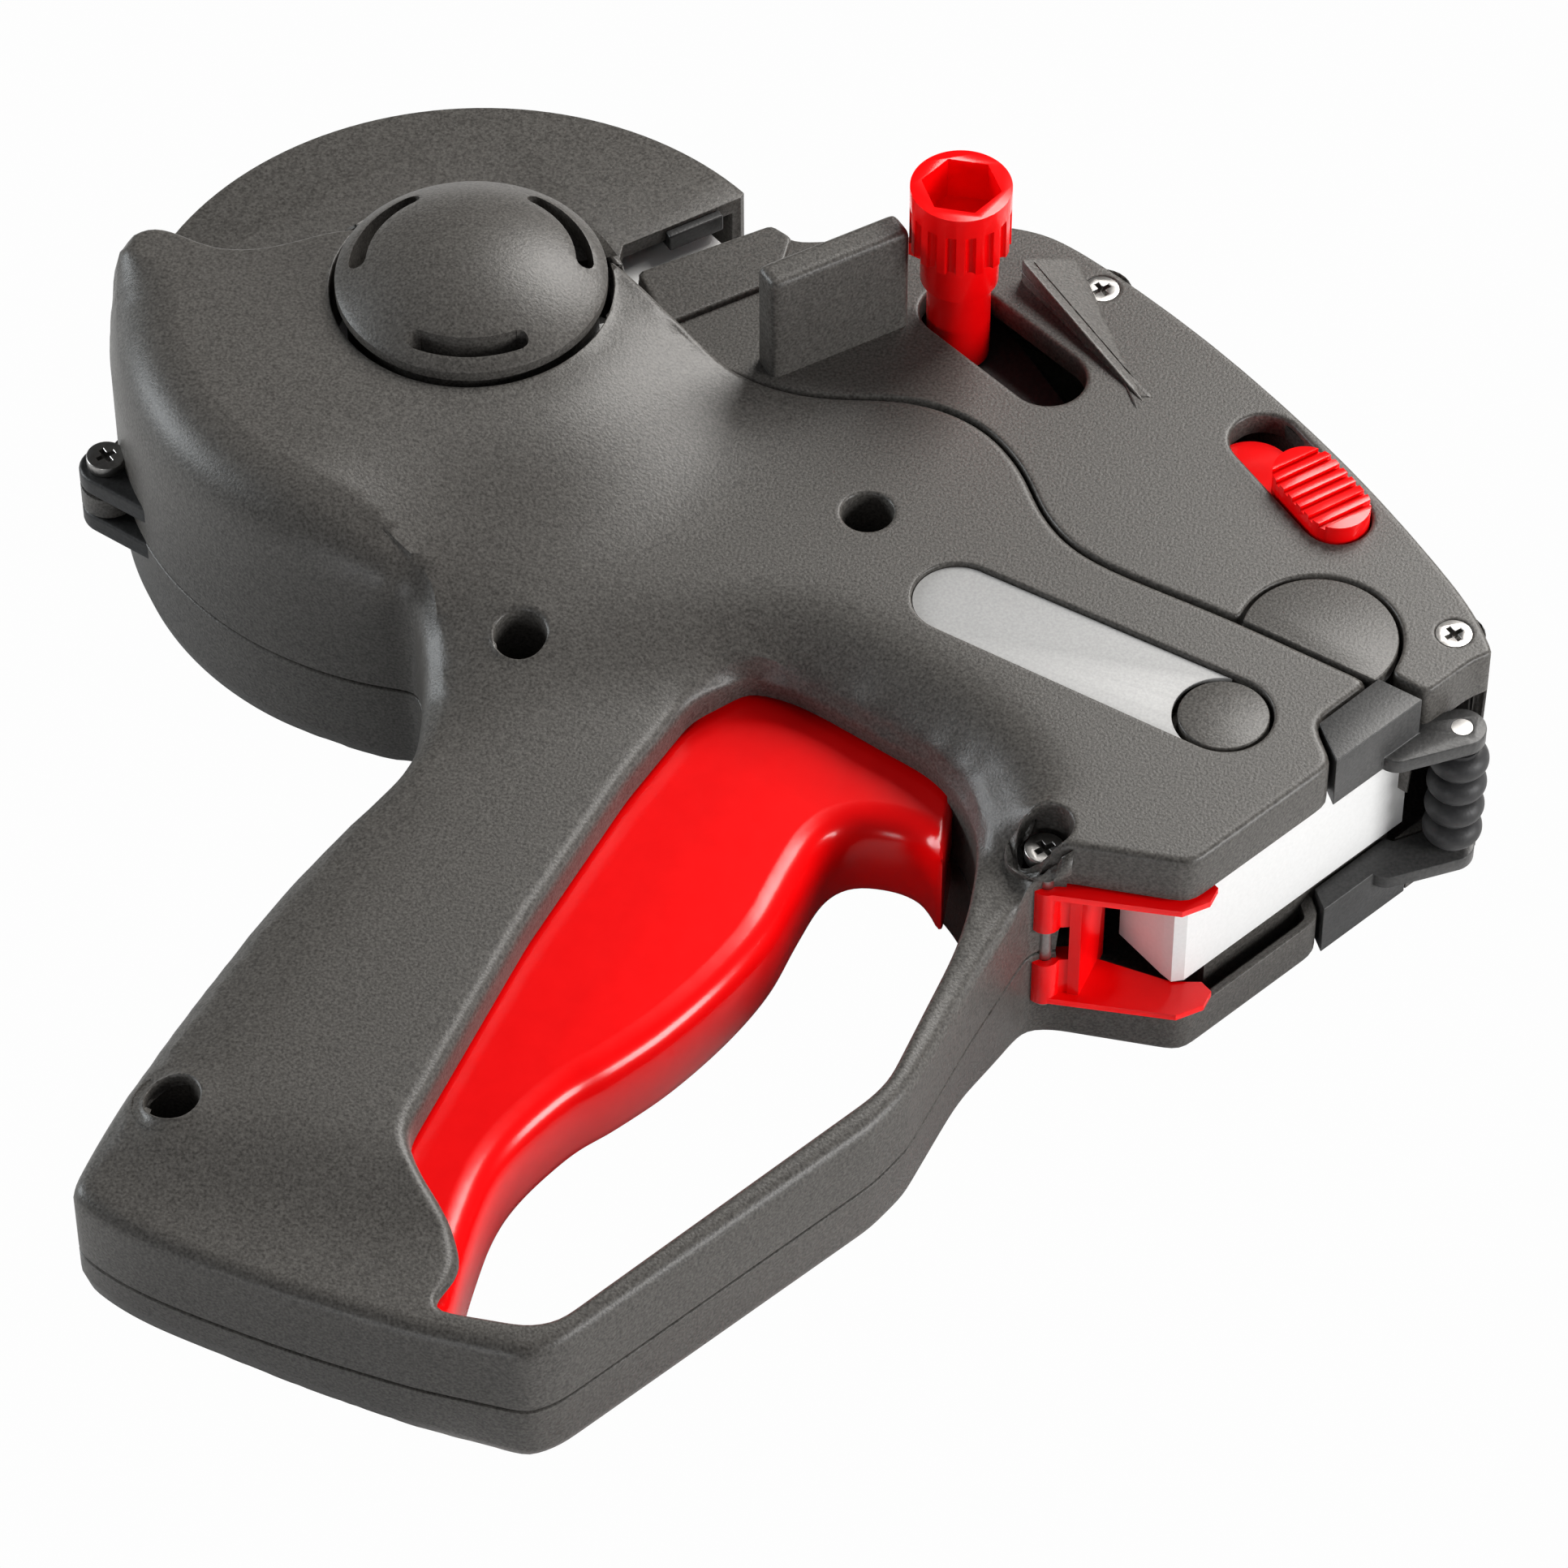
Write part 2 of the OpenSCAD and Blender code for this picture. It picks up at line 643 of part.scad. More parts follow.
module shell_screws() {
    color(steel) placed() {
        for (b = boss_at)
            screw(b, hole_r - 0.9, boss_floor - parting, 9);
        screw(gate_screw_at, hole_r - 0.9, 13, 1);
    }
}

module cover_screws() {
    color(steel) placed() for (s = cover_screw_at)
        screw(s, 2.6, head_half - 2, 10);
}

module lid_pin() {
    color(steel) placed() screw(lug_at, 2.8, lug_half, 2 * lug_half);
}

// Trigger: a hollow paddle pivoted at its tail and open to the grip behind it
finger_edge = spline([grip(-21.4, 0.93), grip(-22, 0.8), grip(-20.8, 0.64), grip(-15.2, 0.51),
    grip(-9.9, 0.44), grip(-4, 0.354), grip(1.6, 0.246), grip(5.4, 0.141), grip(7.3, 0.038),
    [9.3, -15.6], [12.6, -12.2]], 3);
trigger_top = [[18, -11.8], [22, -13], [25.6, -16.2], [24.6, -1], [14, 7.5], [3, 14], [-8, 15]];
trigger_rear = [[-14.8, 0], [-23, -15], grip(-31, 0.25), grip(-38, 0.63), grip(-36.5, 0.68), grip(-33, 0.735),
    grip(-28, 0.79), grip(-26, 0.85), grip(-24.4, 0.93)];
cross_half = trigger_half - 0.8;

module trigger() {
    color(red) placed() difference() {
        slab(-trigger_half, trigger_half) {
            polygon(concat(finger_edge, trigger_top, trigger_rear));
            translate(trigger_at) circle(trigger_pin_r + 1.3);
        }
        slab(trigger_wall - trigger_half, trigger_half - trigger_wall)
            polygon(concat(
                [for (p = finger_edge) if (p[1] > grip(0, 0.6)[1] && p[1] < -15) p + [-4, 0]],
                [[9, -8.5], [20, -8.5], [20, -7], [32, -7], [30, 24], [-20, 24], [-45, -15], grip(-45, 0.55)]));
        post(trigger_at, trigger_pin_r + run_fit, -head_half, head_half);
        post(cross_at, trigger_pin_r, -cross_half, cross_half);
    }
}

module trigger_pivot_pin() {
    color(steel) placed() post(trigger_at, trigger_pin_r, 1.5 - guard_half, guard_half - 1.5);
}

module trigger_cross_pin() {
    color(steel) placed() post(cross_at, trigger_pin_r, -cross_half, cross_half);
}

// Lever from the trigger's cross pin to the carriage's drive pin
function turned(p, a) = [p[0] * cos(a) - p[1] * sin(a), p[0] * sin(a) + p[1] * cos(a)];
cross_end = trigger_at + turned(cross_at - trigger_at, trigger_swing);
lever_swing = (heading(cross_at - lever_at) - heading(cross_end - lever_at) + 360) % 360;
drive_arm = stroke / tan(lever_swing);
drive_at = lever_at + drive_arm * unit(front_tilt);
drive_pin_r = 2;
fork_r = drive_pin_r + 0.8;
lever_hub_r = 4.2;
lever_shaft_r = 2;
lever_low = 3;
cheek_z = web_half - 0.2;
cheek_t = 2;
lever_room = inner_half - cheek_z - cheek_t;
lever_z = [0.35 * lever_room - inner_half, 0.87 * lever_room - inner_half];
tail_angle = heading(cross_at - lever_at);
tail_reach = norm(cross_end - lever_at);

module drive_lever() {
    tail = unit(tail_angle);
    arm = unit(front_tilt);
    color(steel) placed() difference() {
        union() {
            post(lever_at, lever_hub_r, lever_z[0], 0);
            slab(-lever_low, 0) strap(lever_at, lever_at + tail_reach * tail, 5, 6.2);
            slab(lever_z[0], lever_z[1]) strap(lever_at, lever_at + (drive_arm + 3) * arm, 4.8, 4.8);
        }
        slab(-lever_low - 1, 1) strap(lever_at + 18 * tail, lever_at + (tail_reach + 9) * tail, 3.9, 3.9);
        slab(lever_z[0] - 1, lever_z[1] + 1)
            strap(lever_at + (drive_arm - 1) * arm, lever_at + (drive_arm + 9) * arm, fork_r, fork_r);
        post(lever_at, lever_shaft_r + run_fit, -head_half, 1);
    }
}

module lever_shaft() {
    color(steel) placed() {
        post(lever_at, lever_shaft_r, -inner_half - 1.2, 1.2);
        post(lever_at, lever_shaft_r + 1.5, 0.5, 1.8);
    }
}

// Return spring: a coil round the lever's hub, one leg along each arm
spring_r = lever_hub_r + 0.4 + spring_wire / 2;
spring_start = front_tilt + 90;
spring_turns = 5 + (tail_angle + 360 - 90 - spring_start + 360) % 360 / 360;
spring_z = [lever_z[1] + 0.1 + spring_wire / 2, -lever_low - 0.1 - spring_wire / 2];
spring_pitch = (spring_z[1] - spring_z[0]) / spring_turns;
spring_leg = 9;
echo(spring_gap = spring_pitch * cos(atan(spring_pitch / (2 * PI * spring_r))) - spring_wire);

module return_spring() {
    steps = ceil(8 * spring_turns);
    sides = 6;
    coil = [
        for (i = [0:steps])
            concat(spring_r * unit(spring_start + 360 * spring_turns * i / steps),
                spring_z[0] + (spring_z[1] - spring_z[0]) * i / steps)];
    last = spring_start + 360 * spring_turns;
    path = concat([coil[0] + spring_leg * concat(unit(spring_start - 90), 0)], coil,
        [coil[steps] + spring_leg * concat(unit(last + 90), 0)]);
    n = len(path);
    ring = function (i)
        let (t = path[min(i + 1, n - 1)] - path[max(i - 1, 0)], w = [t[1], -t[0], 0] / norm([t[0], t[1]]),
            up = cross(w, t) / norm(t))
            [for (k = [0:sides - 1]) path[i] + spring_wire / 2 * (cos(60 * k) * w + sin(60 * k) * up)];
    points = [for (i = [0:n - 1]) each ring(i)];
    skin = [
        for (i = [0:n - 2])
            for (k = [0:sides - 1])
                let (a = i * sides + k, b = i * sides + (k + 1) % sides)
                    each [[a, b + sides, b], [a, a + sides, b + sides]]];
    caps = [
        for (k = [1:sides - 2])
            each [[0, k, k + 1], [(n - 1) * sides, (n - 1) * sides + k + 1, (n - 1) * sides + k]]];
    color(steel) placed() translate(concat(lever_at, 0)) polyhedron(points, concat(skin, caps));
}

// Carriage: two cheeks that hold the bands, each with a sleeve on its guide rod
rod_z = inner_half - 3.4;
sleeve_half = 3.6;
// Place of the right and of the left guide rod along the front face, and length of their sleeves
rod_u = [38, 26];
sleeve_len = [12, 9];
sleeve_d = platen_back + stroke + 1;

module along_front(at, r, length) {
    translate(concat(at, 0)) rotate([0, 90, front_tilt + 90]) cylinder(r = r, h = length);
}

module front_block(u, half, d, depth) {
    polygon([on_front(u - half, d), on_front(u + half, d),
        on_front(u + half, d + depth), on_front(u - half, d + depth)]);
}

module carriage_frame() {
    color(black) placed() difference() {
        union() {
            for (side = [0, 1])
                mirror([0, 0, side]) {
                    slab(cheek_z, cheek_z + cheek_t) strap(knob_at, foot_at, 8.5, foot_r + 0.3);
                    slab(cheek_z, rod_z + rod_r + 1)
                        front_block(rod_u[side], sleeve_half, sleeve_d, sleeve_len[side]);
                }
            post(drive_at, drive_pin_r, lever_z[0], -cheek_z);
        }
        for (side = [0, 1])
            mirror([0, 0, side])
                translate([0, 0, rod_z]) along_front(on_front(rod_u[side], 0), rod_r + run_fit, 70);
        post(knob_at, shaft_r + run_fit, -head_half, head_half);
    }
}

module print_foot() {
    color(black) placed() post(foot_at, foot_r - 0.3, -cheek_z, cheek_z);
}

band_pitch = 2 * cheek_z / bands;

module type_bands() {
    color("#d8d2c2") placed() for (i = [0:bands - 1]) {
        band_z = band_pitch * (i + 0.5) - cheek_z;
        slab(band_z - band_w / 2, band_z + band_w / 2) difference() {
            strap(knob_at, foot_at, foot_r + band_t, foot_r + band_t);
            strap(knob_at, foot_at, foot_r, foot_r);
        }
    }
}

rod_end = [sleeve_d + sleeve_len[0] + 8, sleeve_d + sleeve_len[1] + 4];
rod_bracket_t = 3;

module guide_rods() {
    color(steel) placed() for (side = [0, 1])
        mirror([0, 0, side]) translate([0, 0, rod_z])
            along_front(on_front(rod_u[side], platen_face + 1), rod_r, rod_end[side] - platen_face - 1);
}

module rod_brackets() {
    color(black) placed() for (side = [0, 1])
        mirror([0, 0, side]) difference() {
            slab(cheek_z + cheek_t + free_gap, inner_half)
                front_block(rod_u[side], 4, rod_end[side] - rod_bracket_t, rod_bracket_t);
            translate([0, 0, rod_z]) along_front(on_front(rod_u[side], 0), rod_r, 80);
        }
}

// Selector: collar that slides in the slot, and the knob and shaft that turn in it
collar_top = head_half + 13.3;
collar_r = slot_w / 2 - 0.9;

module selector_collar() {
    color(red) placed() difference() {
        union() {
            post(knob_at, collar_r, cheek_z + cheek_t + free_gap, collar_top);
            post(knob_at, collar_r + 1, collar_top - 6.5, collar_top);
            slab(collar_top - 5, collar_top - 1.5)
                translate(knob_at) rotate(160) translate([0, -1.5]) square([7.6, 3]);
        }
        post(knob_at, shaft_r + run_fit, 0, collar_top + 1);
    }
}

module selector_knob() {
    foot_z = collar_top + free_gap;
    color(red) placed() difference() {
        post(knob_at, knob_d / 2, foot_z, foot_z + knob_h);
        for (i = [0:flutes - 1])
            post(knob_at + knob_d / 2 * unit(360 * i / flutes), 0.75, foot_z - 1, foot_z + knob_h - 3.5);
        post(knob_at, shaft_r, foot_z - 1, foot_z + 3);
        translate([knob_at[0], knob_at[1], foot_z + knob_h - socket_depth])
            cylinder(r = socket_w / sqrt(3), h = socket_depth + 1, $fn = 6);
    }
}

module selector_shaft() {
    color(steel) placed() {
        post(knob_at, shaft_r, -cheek_z - cheek_t - 0.6, collar_top + free_gap + 3);
        post(knob_at, foot_r - 0.3, 0.5 - cheek_z, 0.5 - cheek_z + band_w);
    }
}

// Slide button: ribbed top, and a plate that runs under the cover
slider_dir = (slider_slot[0] - slider_slot[1]) / norm(slider_slot[0] - slider_slot[1]);
slider_len = 17;
slider_at = [slider_slot[1], slider_slot[1] + (slider_len - slider_w) * slider_dir];
slider_ribs = 7;
slider_shift = 3.4 * [-slider_dir[1], slider_dir[0]];

module slide_button() {
    middle_at = (slider_at[0] + slider_at[1]) / 2;
    color(red) placed() difference() {
        union() {
            slab(inner_half - free_gap - 1.6, inner_half - free_gap)
                strap(slider_at[0] + slider_shift, slider_at[1] + 8 * slider_dir + slider_shift, 6, 6);
            slab(inner_half - free_gap - 0.2, head_half + 2.6)
                strap(slider_at[0], slider_at[1], slider_w / 2, slider_w / 2);
        }
        for (i = [0:slider_ribs - 1])
            translate(concat(middle_at + (i - (slider_ribs - 1) / 2) * 2 * slider_dir, head_half + 2.6))
                rotate(atan2(slider_dir[1], slider_dir[0])) cube([0.9, 20, 1.4], center = true);
    }
}

module ink_roller() {
    color("#2a2430") placed() difference() {
        post(ink_at, 4.6, -web_half + 1, web_half - 1);
        post(ink_at, axle_r + run_fit, -head_half, head_half);
    }
}

module ink_axle() {
    color(steel) placed() post(ink_at, axle_r, -inner_half, inner_half);
}

// Platen: bar across the head with a thin edge where labels peel off
module platen() {
    color(shell_grey) placed() difference() {
        union() {
            slab(-inner_half, inner_half) polygon([on_front(8, platen_face), on_front(44, platen_face),
                on_front(44, platen_face + 2), on_front(41, platen_back), on_front(8, platen_back)]);
            slab(-web_half, web_half) polygon([on_front(2.8, platen_face + 0.8), on_front(3.8, platen_face),
                on_front(46, platen_face), on_front(46, platen_face + 0.8), on_front(41, platen_back),
                on_front(5, platen_back), on_front(2.8, platen_back - 1.6)]);
        }
        for (side = [0, 1])
            mirror([0, 0, side])
                translate([0, 0, rod_z]) along_front(on_front(rod_u[side], platen_face + 1), rod_r, 20);
    }
}

module label_roll() {
    color(paper) placed() difference() {
        post(drum_at, roll_r, -web_half, web_half);
        post(drum_at, core_r, -head_half, head_half);
    }
}

module label_core() {
    color("#b08d5f") placed() difference() {
        post(drum_at, core_r, -web_half, web_half);
        post(drum_at, spindle_r, -head_half, head_half);
    }
}

// Web from the roll, over the guide, along the platen, round the peel edge and back as bare liner
web_lift = web_t / 2 + 0.15;
web_path = [drum_at + (roll_r + web_lift + 0.2) * unit(-80), web_guide_at + (2 + web_lift) * unit(100),
    web_guide_at + (2 + web_lift) * unit(60), on_front(19, platen_back + 15),
    on_front(16.8, platen_back + 1.6), on_front(18, platen_back + web_lift),
    on_front(41, platen_back + web_lift), on_front(46.4, platen_face + 1),
    on_front(46.3, platen_face - web_lift), on_front(3.6, platen_face - web_lift),
    on_front(2.2, platen_face + 0.6), on_front(2.2, platen_face + 2.4), on_front(3, platen_back + 7.5)];

module label_web() {
    color(paper) placed() slab(-web_half, web_half) polygon(strip(web_path, web_t));
}

module web_guide() {
    color(steel) placed() post(web_guide_at, 2, -web_half - 0.5, inner_half);
}

feed_teeth = 16;

module feed_wheel() {
    color(black) placed() difference() {
        union() {
            post(feed_at, feed_r - 0.6, -web_half + 1, web_half - 1);
            for (z = [-6, -1.5, 3])
                slab(z, z + 3) for (i = [0:feed_teeth - 1])
                    translate(feed_at) rotate(360 * i / feed_teeth) translate([0, -0.6]) square([feed_r, 1.2]);
        }
        post(feed_at, axle_r + run_fit, -head_half, head_half);
    }
}

module feed_ratchet() {
    teeth = 12;
    rim = [
        for (i = [0:teeth - 1])
            each [feed_at + feed_r * unit(360 * i / teeth),
                feed_at + (feed_r - 1.2) * unit(360 * i / teeth + 3)]];
    color(steel) placed() slab(web_half - 1, web_half + 1.6) difference() {
        polygon(rim);
        translate(feed_at) circle(axle_r + run_fit);
    }
}

module feed_axle() {
    color(steel) placed() post(feed_at, axle_r, -inner_half, inner_half);
}

ring_pitch = (2 * web_half - 1.2) / rings;
ring_round = ring_pitch / 2;

module apply_roller() {
    color(black) placed() difference() {
        union() {
            post(roller_at, roller_r - 1.5, -web_half + 0.3, web_half - 0.3);
            for (i = [0:rings - 1])
                translate(concat(roller_at, ring_pitch * (i + 0.5) - web_half + 0.6))
                    rotate_extrude() translate([roller_r - ring_round * 0.9, 0]) intersection() {
                        circle(ring_round * 0.9);
                        translate([-1, -5]) square([5, 10]);
                    }
        }
        post(roller_at, axle_r + run_fit, -head_half, head_half);
    }
}

module roller_axle() {
    color(steel) placed() post(roller_at, axle_r, -arm_half[1], arm_half[1]);
}

// Gate: two thin cheeks and a bridge on a hinge under the front corner
gate_cheek = [gate_at + [-1, -2], [59.2, -21.2], [62.6, -18.6], [63.2, -16], [61.6, -14.6],
    [57.5, -15.4], [47, -13.5], [43.6, -16.6], gate_at + [1, 2]];

module feed_gate() {
    barrel = [knuckle_half + free_gap, gate_half];
    color(red) placed() difference() {
        union() {
            for (side = [0, 1])
                mirror([0, 0, side]) {
                    post(gate_at, gate_pin_r * 2, barrel[0], barrel[1]);
                    slab(web_half + 0.3, gate_half) polygon(gate_cheek);
                    slab(barrel[0], barrel[1])
                        polygon([gate_at + [0, -1.2], gate_at + [4, 0],
                            gate_at + [4, 2.4], gate_at + [1, 1.6]]);
                }
            slab(-barrel[1], barrel[1])
                polygon([gate_at + [3.4, -0.5], gate_at + [5, -0.5], gate_at + [6.8, 8.6], gate_at + [5, 8.8]]);
        }
        post(gate_at, gate_pin_r + run_fit, -head_half, head_half);
    }
}

module gate_pin() {
    color(steel) placed() post(gate_at, gate_pin_r, -gate_half - 1.5, gate_half + 1.5);
}

right_body_shell();
left_body_shell();
right_head_cover();
left_head_cover();
ink_door();
roll_cover();
roll_cover_latch();
right_roll_hub();
left_roll_hub();
stripe_plate();
right_nose_bracket();
left_nose_bracket();
shell_screws();
cover_screws();
trigger();
trigger_pivot_pin();
trigger_cross_pin();
return_spring();
drive_lever();
lever_shaft();
carriage_frame();
type_bands();
print_foot();
guide_rods();
rod_brackets();
selector_collar();
selector_knob();
selector_shaft();
ink_roller();
ink_axle();
platen();
label_roll();
label_core();
label_web();
web_guide();
feed_wheel();
feed_ratchet();
feed_axle();
apply_roller();
roller_axle();
feed_gate();
gate_pin();
release_button();
slide_button();
lid_pin();
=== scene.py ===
"""Hand-held price labeler lying on its left side, seen from above its right side.

The casing halves, the right head cover, the hinge lugs and the trigger are moulded skins over plan outlines,
and the pin in the heel is turned. The other pieces are the CAD solids, with rounded edges on most of those in
view.
"""
import json

import bpy
import numpy as np
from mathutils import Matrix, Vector
from mathutils.geometry import delaunay_2d_cdt


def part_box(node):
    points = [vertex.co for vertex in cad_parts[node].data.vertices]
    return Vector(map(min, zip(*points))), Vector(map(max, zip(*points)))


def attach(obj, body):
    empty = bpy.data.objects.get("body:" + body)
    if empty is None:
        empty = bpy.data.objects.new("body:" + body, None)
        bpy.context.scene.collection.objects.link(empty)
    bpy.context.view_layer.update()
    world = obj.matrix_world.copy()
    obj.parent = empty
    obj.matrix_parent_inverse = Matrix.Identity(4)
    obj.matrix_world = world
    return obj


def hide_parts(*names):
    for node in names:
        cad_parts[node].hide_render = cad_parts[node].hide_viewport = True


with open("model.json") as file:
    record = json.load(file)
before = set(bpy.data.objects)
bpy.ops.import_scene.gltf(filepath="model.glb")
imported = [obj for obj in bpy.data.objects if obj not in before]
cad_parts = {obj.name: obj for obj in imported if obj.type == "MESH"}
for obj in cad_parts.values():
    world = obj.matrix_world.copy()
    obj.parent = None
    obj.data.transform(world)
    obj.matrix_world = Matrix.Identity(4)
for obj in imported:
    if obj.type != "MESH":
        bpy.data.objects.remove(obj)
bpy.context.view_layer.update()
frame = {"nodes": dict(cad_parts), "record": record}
nodes = frame["nodes"]

# Plan points below are in millimetres from the middle of the label's way through the head.
# The gate's pin stands at a known plan point, so its box tells where that middle lies in the frame.
gate_pin_at = [40.5, -20, 0]
pin_low, pin_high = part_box("gate_pin")
pin_middle = np.array(pin_low + pin_high) * 1000 / 2
origin = pin_middle - gate_pin_at


# Casing
# Two halves of dull, finely grained grey plastic, screwed together along a parting plane just left of the
# middle. Each half is one moulding: deck, roll housing, sloping skirt, grip and the guard round the finger
# opening.
def moulded(name, dark, light, speck, rough, grain, bump=0.2):
    """Moulded plastic, rubber or paper: a fine speckle between two colours and a bump, both with grain of
    that size in metres."""
    material = bpy.data.materials.new(name)
    material.use_nodes = True
    tree = material.node_tree
    shader = tree.nodes["Principled BSDF"]
    place = tree.nodes.new("ShaderNodeTexCoord")
    noise = tree.nodes.new("ShaderNodeTexNoise")
    ramp = tree.nodes.new("ShaderNodeValToRGB")
    relief = tree.nodes.new("ShaderNodeBump")
    noise.inputs["Scale"].default_value = 1 / grain
    noise.inputs["Detail"].default_value = 3
    ramp.color_ramp.elements[0].position = 0.5 - speck
    ramp.color_ramp.elements[1].position = 0.5 + speck
    ramp.color_ramp.elements[0].color = (*dark, 1)
    ramp.color_ramp.elements[1].color = (*light, 1)
    relief.inputs["Strength"].default_value = bump
    relief.inputs["Distance"].default_value = grain * 0.4
    shader.inputs["Roughness"].default_value = rough
    shader.inputs["Specular IOR Level"].default_value = 0.35
    tree.links.new(place.outputs["Object"], noise.inputs["Vector"])
    tree.links.new(noise.outputs["Fac"], ramp.inputs["Fac"])
    tree.links.new(noise.outputs["Fac"], relief.inputs["Height"])
    tree.links.new(ramp.outputs["Color"], shader.inputs["Base Color"])
    tree.links.new(relief.outputs["Normal"], shader.inputs["Normal"])
    return material


shell_plastic = moulded("shell plastic", (0.035, 0.032, 0.029), (0.102, 0.096, 0.088), 0.2, 0.40, 0.0004, 0.3)


def curve(points, n):
    """Smooth open curve through given points, n steps between two of them, each a cubic with the slope of
    its neighbours' chord."""
    p = np.array(points, float)
    q = np.vstack([p[:1], p, p[-1:]])
    a, b, c, d = (q[k:len(p) - 1 + k, None] for k in range(4))
    s = (np.arange(n) / n)[None, :, None]
    steps = b + 0.5 * s * (c - a + s * (2 * a - 5 * b + 4 * c - d + s * (3 * (b - c) + d - a)))
    return np.vstack([steps.reshape(-1, 2), p[-1:]])


def arc(centre, r, start, end, n):
    """Points on a circle between two angles in degrees."""
    turn = np.radians(np.linspace(start, end, n))
    return np.array(centre) + r * np.stack([np.cos(turn), np.sin(turn)], 1)


def round_hole(centre, r, n):
    """The rim of a round hole: n points on a circle, clockwise."""
    return arc(centre, r, 360, 0, n + 1)[:-1]


def strap(a, b, ra, rb, n=24):
    """Outline of two discs joined by their outer tangents, anticlockwise."""
    a, b = np.array(a, float), np.array(b, float)
    lean = np.degrees(np.arctan2(b[1] - a[1], b[0] - a[0]))
    spread = np.degrees(np.arccos((ra - rb) / np.linalg.norm(b - a)))
    far_end = arc(b, rb, lean - spread, lean + spread, n)
    near_end = arc(a, ra, lean + spread, lean + 360 - spread, n)
    return np.vstack([far_end, near_end])


def spaced(loop, step):
    """A closed loop with points at even steps along its length."""
    loop = np.vstack([loop, loop[:1]])
    length = np.append(0, np.cumsum(np.linalg.norm(np.diff(loop, axis=0), axis=1)))
    at = np.linspace(0, length[-1], int(length[-1] / step), endpoint=False)
    return np.stack([np.interp(at, length, loop[:, 0]), np.interp(at, length, loop[:, 1])], 1)


def softened(values, times):
    """Values along a closed loop, each averaged with its two neighbours, half by half, that many times."""
    for _ in range(times):
        values = 0.25 * np.roll(values, 1, 0) + 0.5 * values + 0.25 * np.roll(values, -1, 0)
    return values


def inwards(loop):
    """Unit vectors to the left of a closed loop at its points, square to the chord of the two neighbours."""
    ahead = np.roll(loop, -1, 0) - np.roll(loop, 1, 0)
    return np.stack([-ahead[:, 1], ahead[:, 0]], 1) / np.linalg.norm(ahead, axis=1)[:, None]


def away(points, line, closed=True):
    """Distance of each point to a line, on which side of its nearest stretch it lies (positive to the left),
    and which stretch that is."""
    start, end = (line, np.roll(line, -1, 0)) if closed else (line[:-1], line[1:])
    run = end - start
    gap = points[:, None] - start
    share = np.clip((gap * run).sum(2) / (run * run).sum(1), 0, 1)
    reach = np.linalg.norm(gap - share[..., None] * run, axis=2)
    nearest = reach.argmin(1)
    row = np.arange(len(points))
    side = run[nearest, 0] * gap[row, nearest, 1] - run[nearest, 1] * gap[row, nearest, 0]
    return reach[row, nearest], np.sign(side), nearest


def covered(points, loops):
    """Whether a ray to the right of each point crosses the loops an odd number of times."""
    start = np.concatenate(loops)
    end = np.concatenate([np.roll(loop, -1, 0) for loop in loops])
    rise = np.where(end[:, 1] == start[:, 1], 1e-9, end[:, 1] - start[:, 1])
    across = (start[:, 1] > points[:, 1:]) != (end[:, 1] > points[:, 1:])
    hit = start[:, 0] + (points[:, 1:] - start[:, 1]) * (end[:, 0] - start[:, 0]) / rise
    return (across & (points[:, :1] < hit)).sum(1) % 2 == 1


def loose_points(rims, grid):
    """Plan points between the rims: five rings along each rim over its rounded edge, and a net of even
    triangles elsewhere."""
    loops = [loop for loop, edge, floor in rims]
    groups = []
    for loop, edge, floor in rims:
        on_round = edge * (1 - np.cos(np.radians([[30], [50], [70], [90]])))
        for step in [*on_round, edge + 0.4]:
            ring = loop + step[:, None] * inwards(loop)
            clear = np.min([away(ring, other)[0] for other in loops], 0)
            groups.append(ring[covered(ring, loops) & (clear > 0.93 * step)])
    low, high = loops[0].min(0), loops[0].max(0)
    x, y = np.meshgrid(np.arange(low[0], high[0], grid), np.arange(low[1], high[1], 0.866 * grid))
    x[1::2] += grid / 2
    net = np.stack([x.ravel(), y.ravel()], 1)
    net = net[covered(net, loops)]
    for loop, edge, floor in rims:
        gap, side, nearest = away(net, loop)
        net = net[gap - edge[nearest] > 0.4 * grid]
    points = np.concatenate(groups + [net])
    first_in_cell = np.unique(np.round(points / 0.1), axis=0, return_index=True)[1]
    return points[np.sort(first_in_cell)]


def triangles(loops, loose):
    """Delaunay triangles inside the first loop and outside the others. Returns all plan points, those of the
    loops first, the faces, and the number at which each loop starts."""
    flat = np.concatenate(loops + [loose])
    starts = np.cumsum([0] + [len(loop) for loop in loops])
    chain = np.concatenate([np.stack([np.arange(a, b), np.append(np.arange(a + 1, b), a)], 1)
                            for a, b in zip(starts[:-1], starts[1:])])
    cut = delaunay_2d_cdt(flat.tolist(), chain.tolist(), [], 0, 1e-6, False)
    flat, faces = np.array(cut[0]), np.array(cut[2])
    first, second = (flat[faces[:, k]] - flat[faces[:, 0]] for k in (1, 2))
    wide = np.abs(first[:, 0] * second[:, 1] - first[:, 1] * second[:, 0]) > 0.005
    return flat, faces[covered(flat[faces].mean(1), loops) & wide], starts


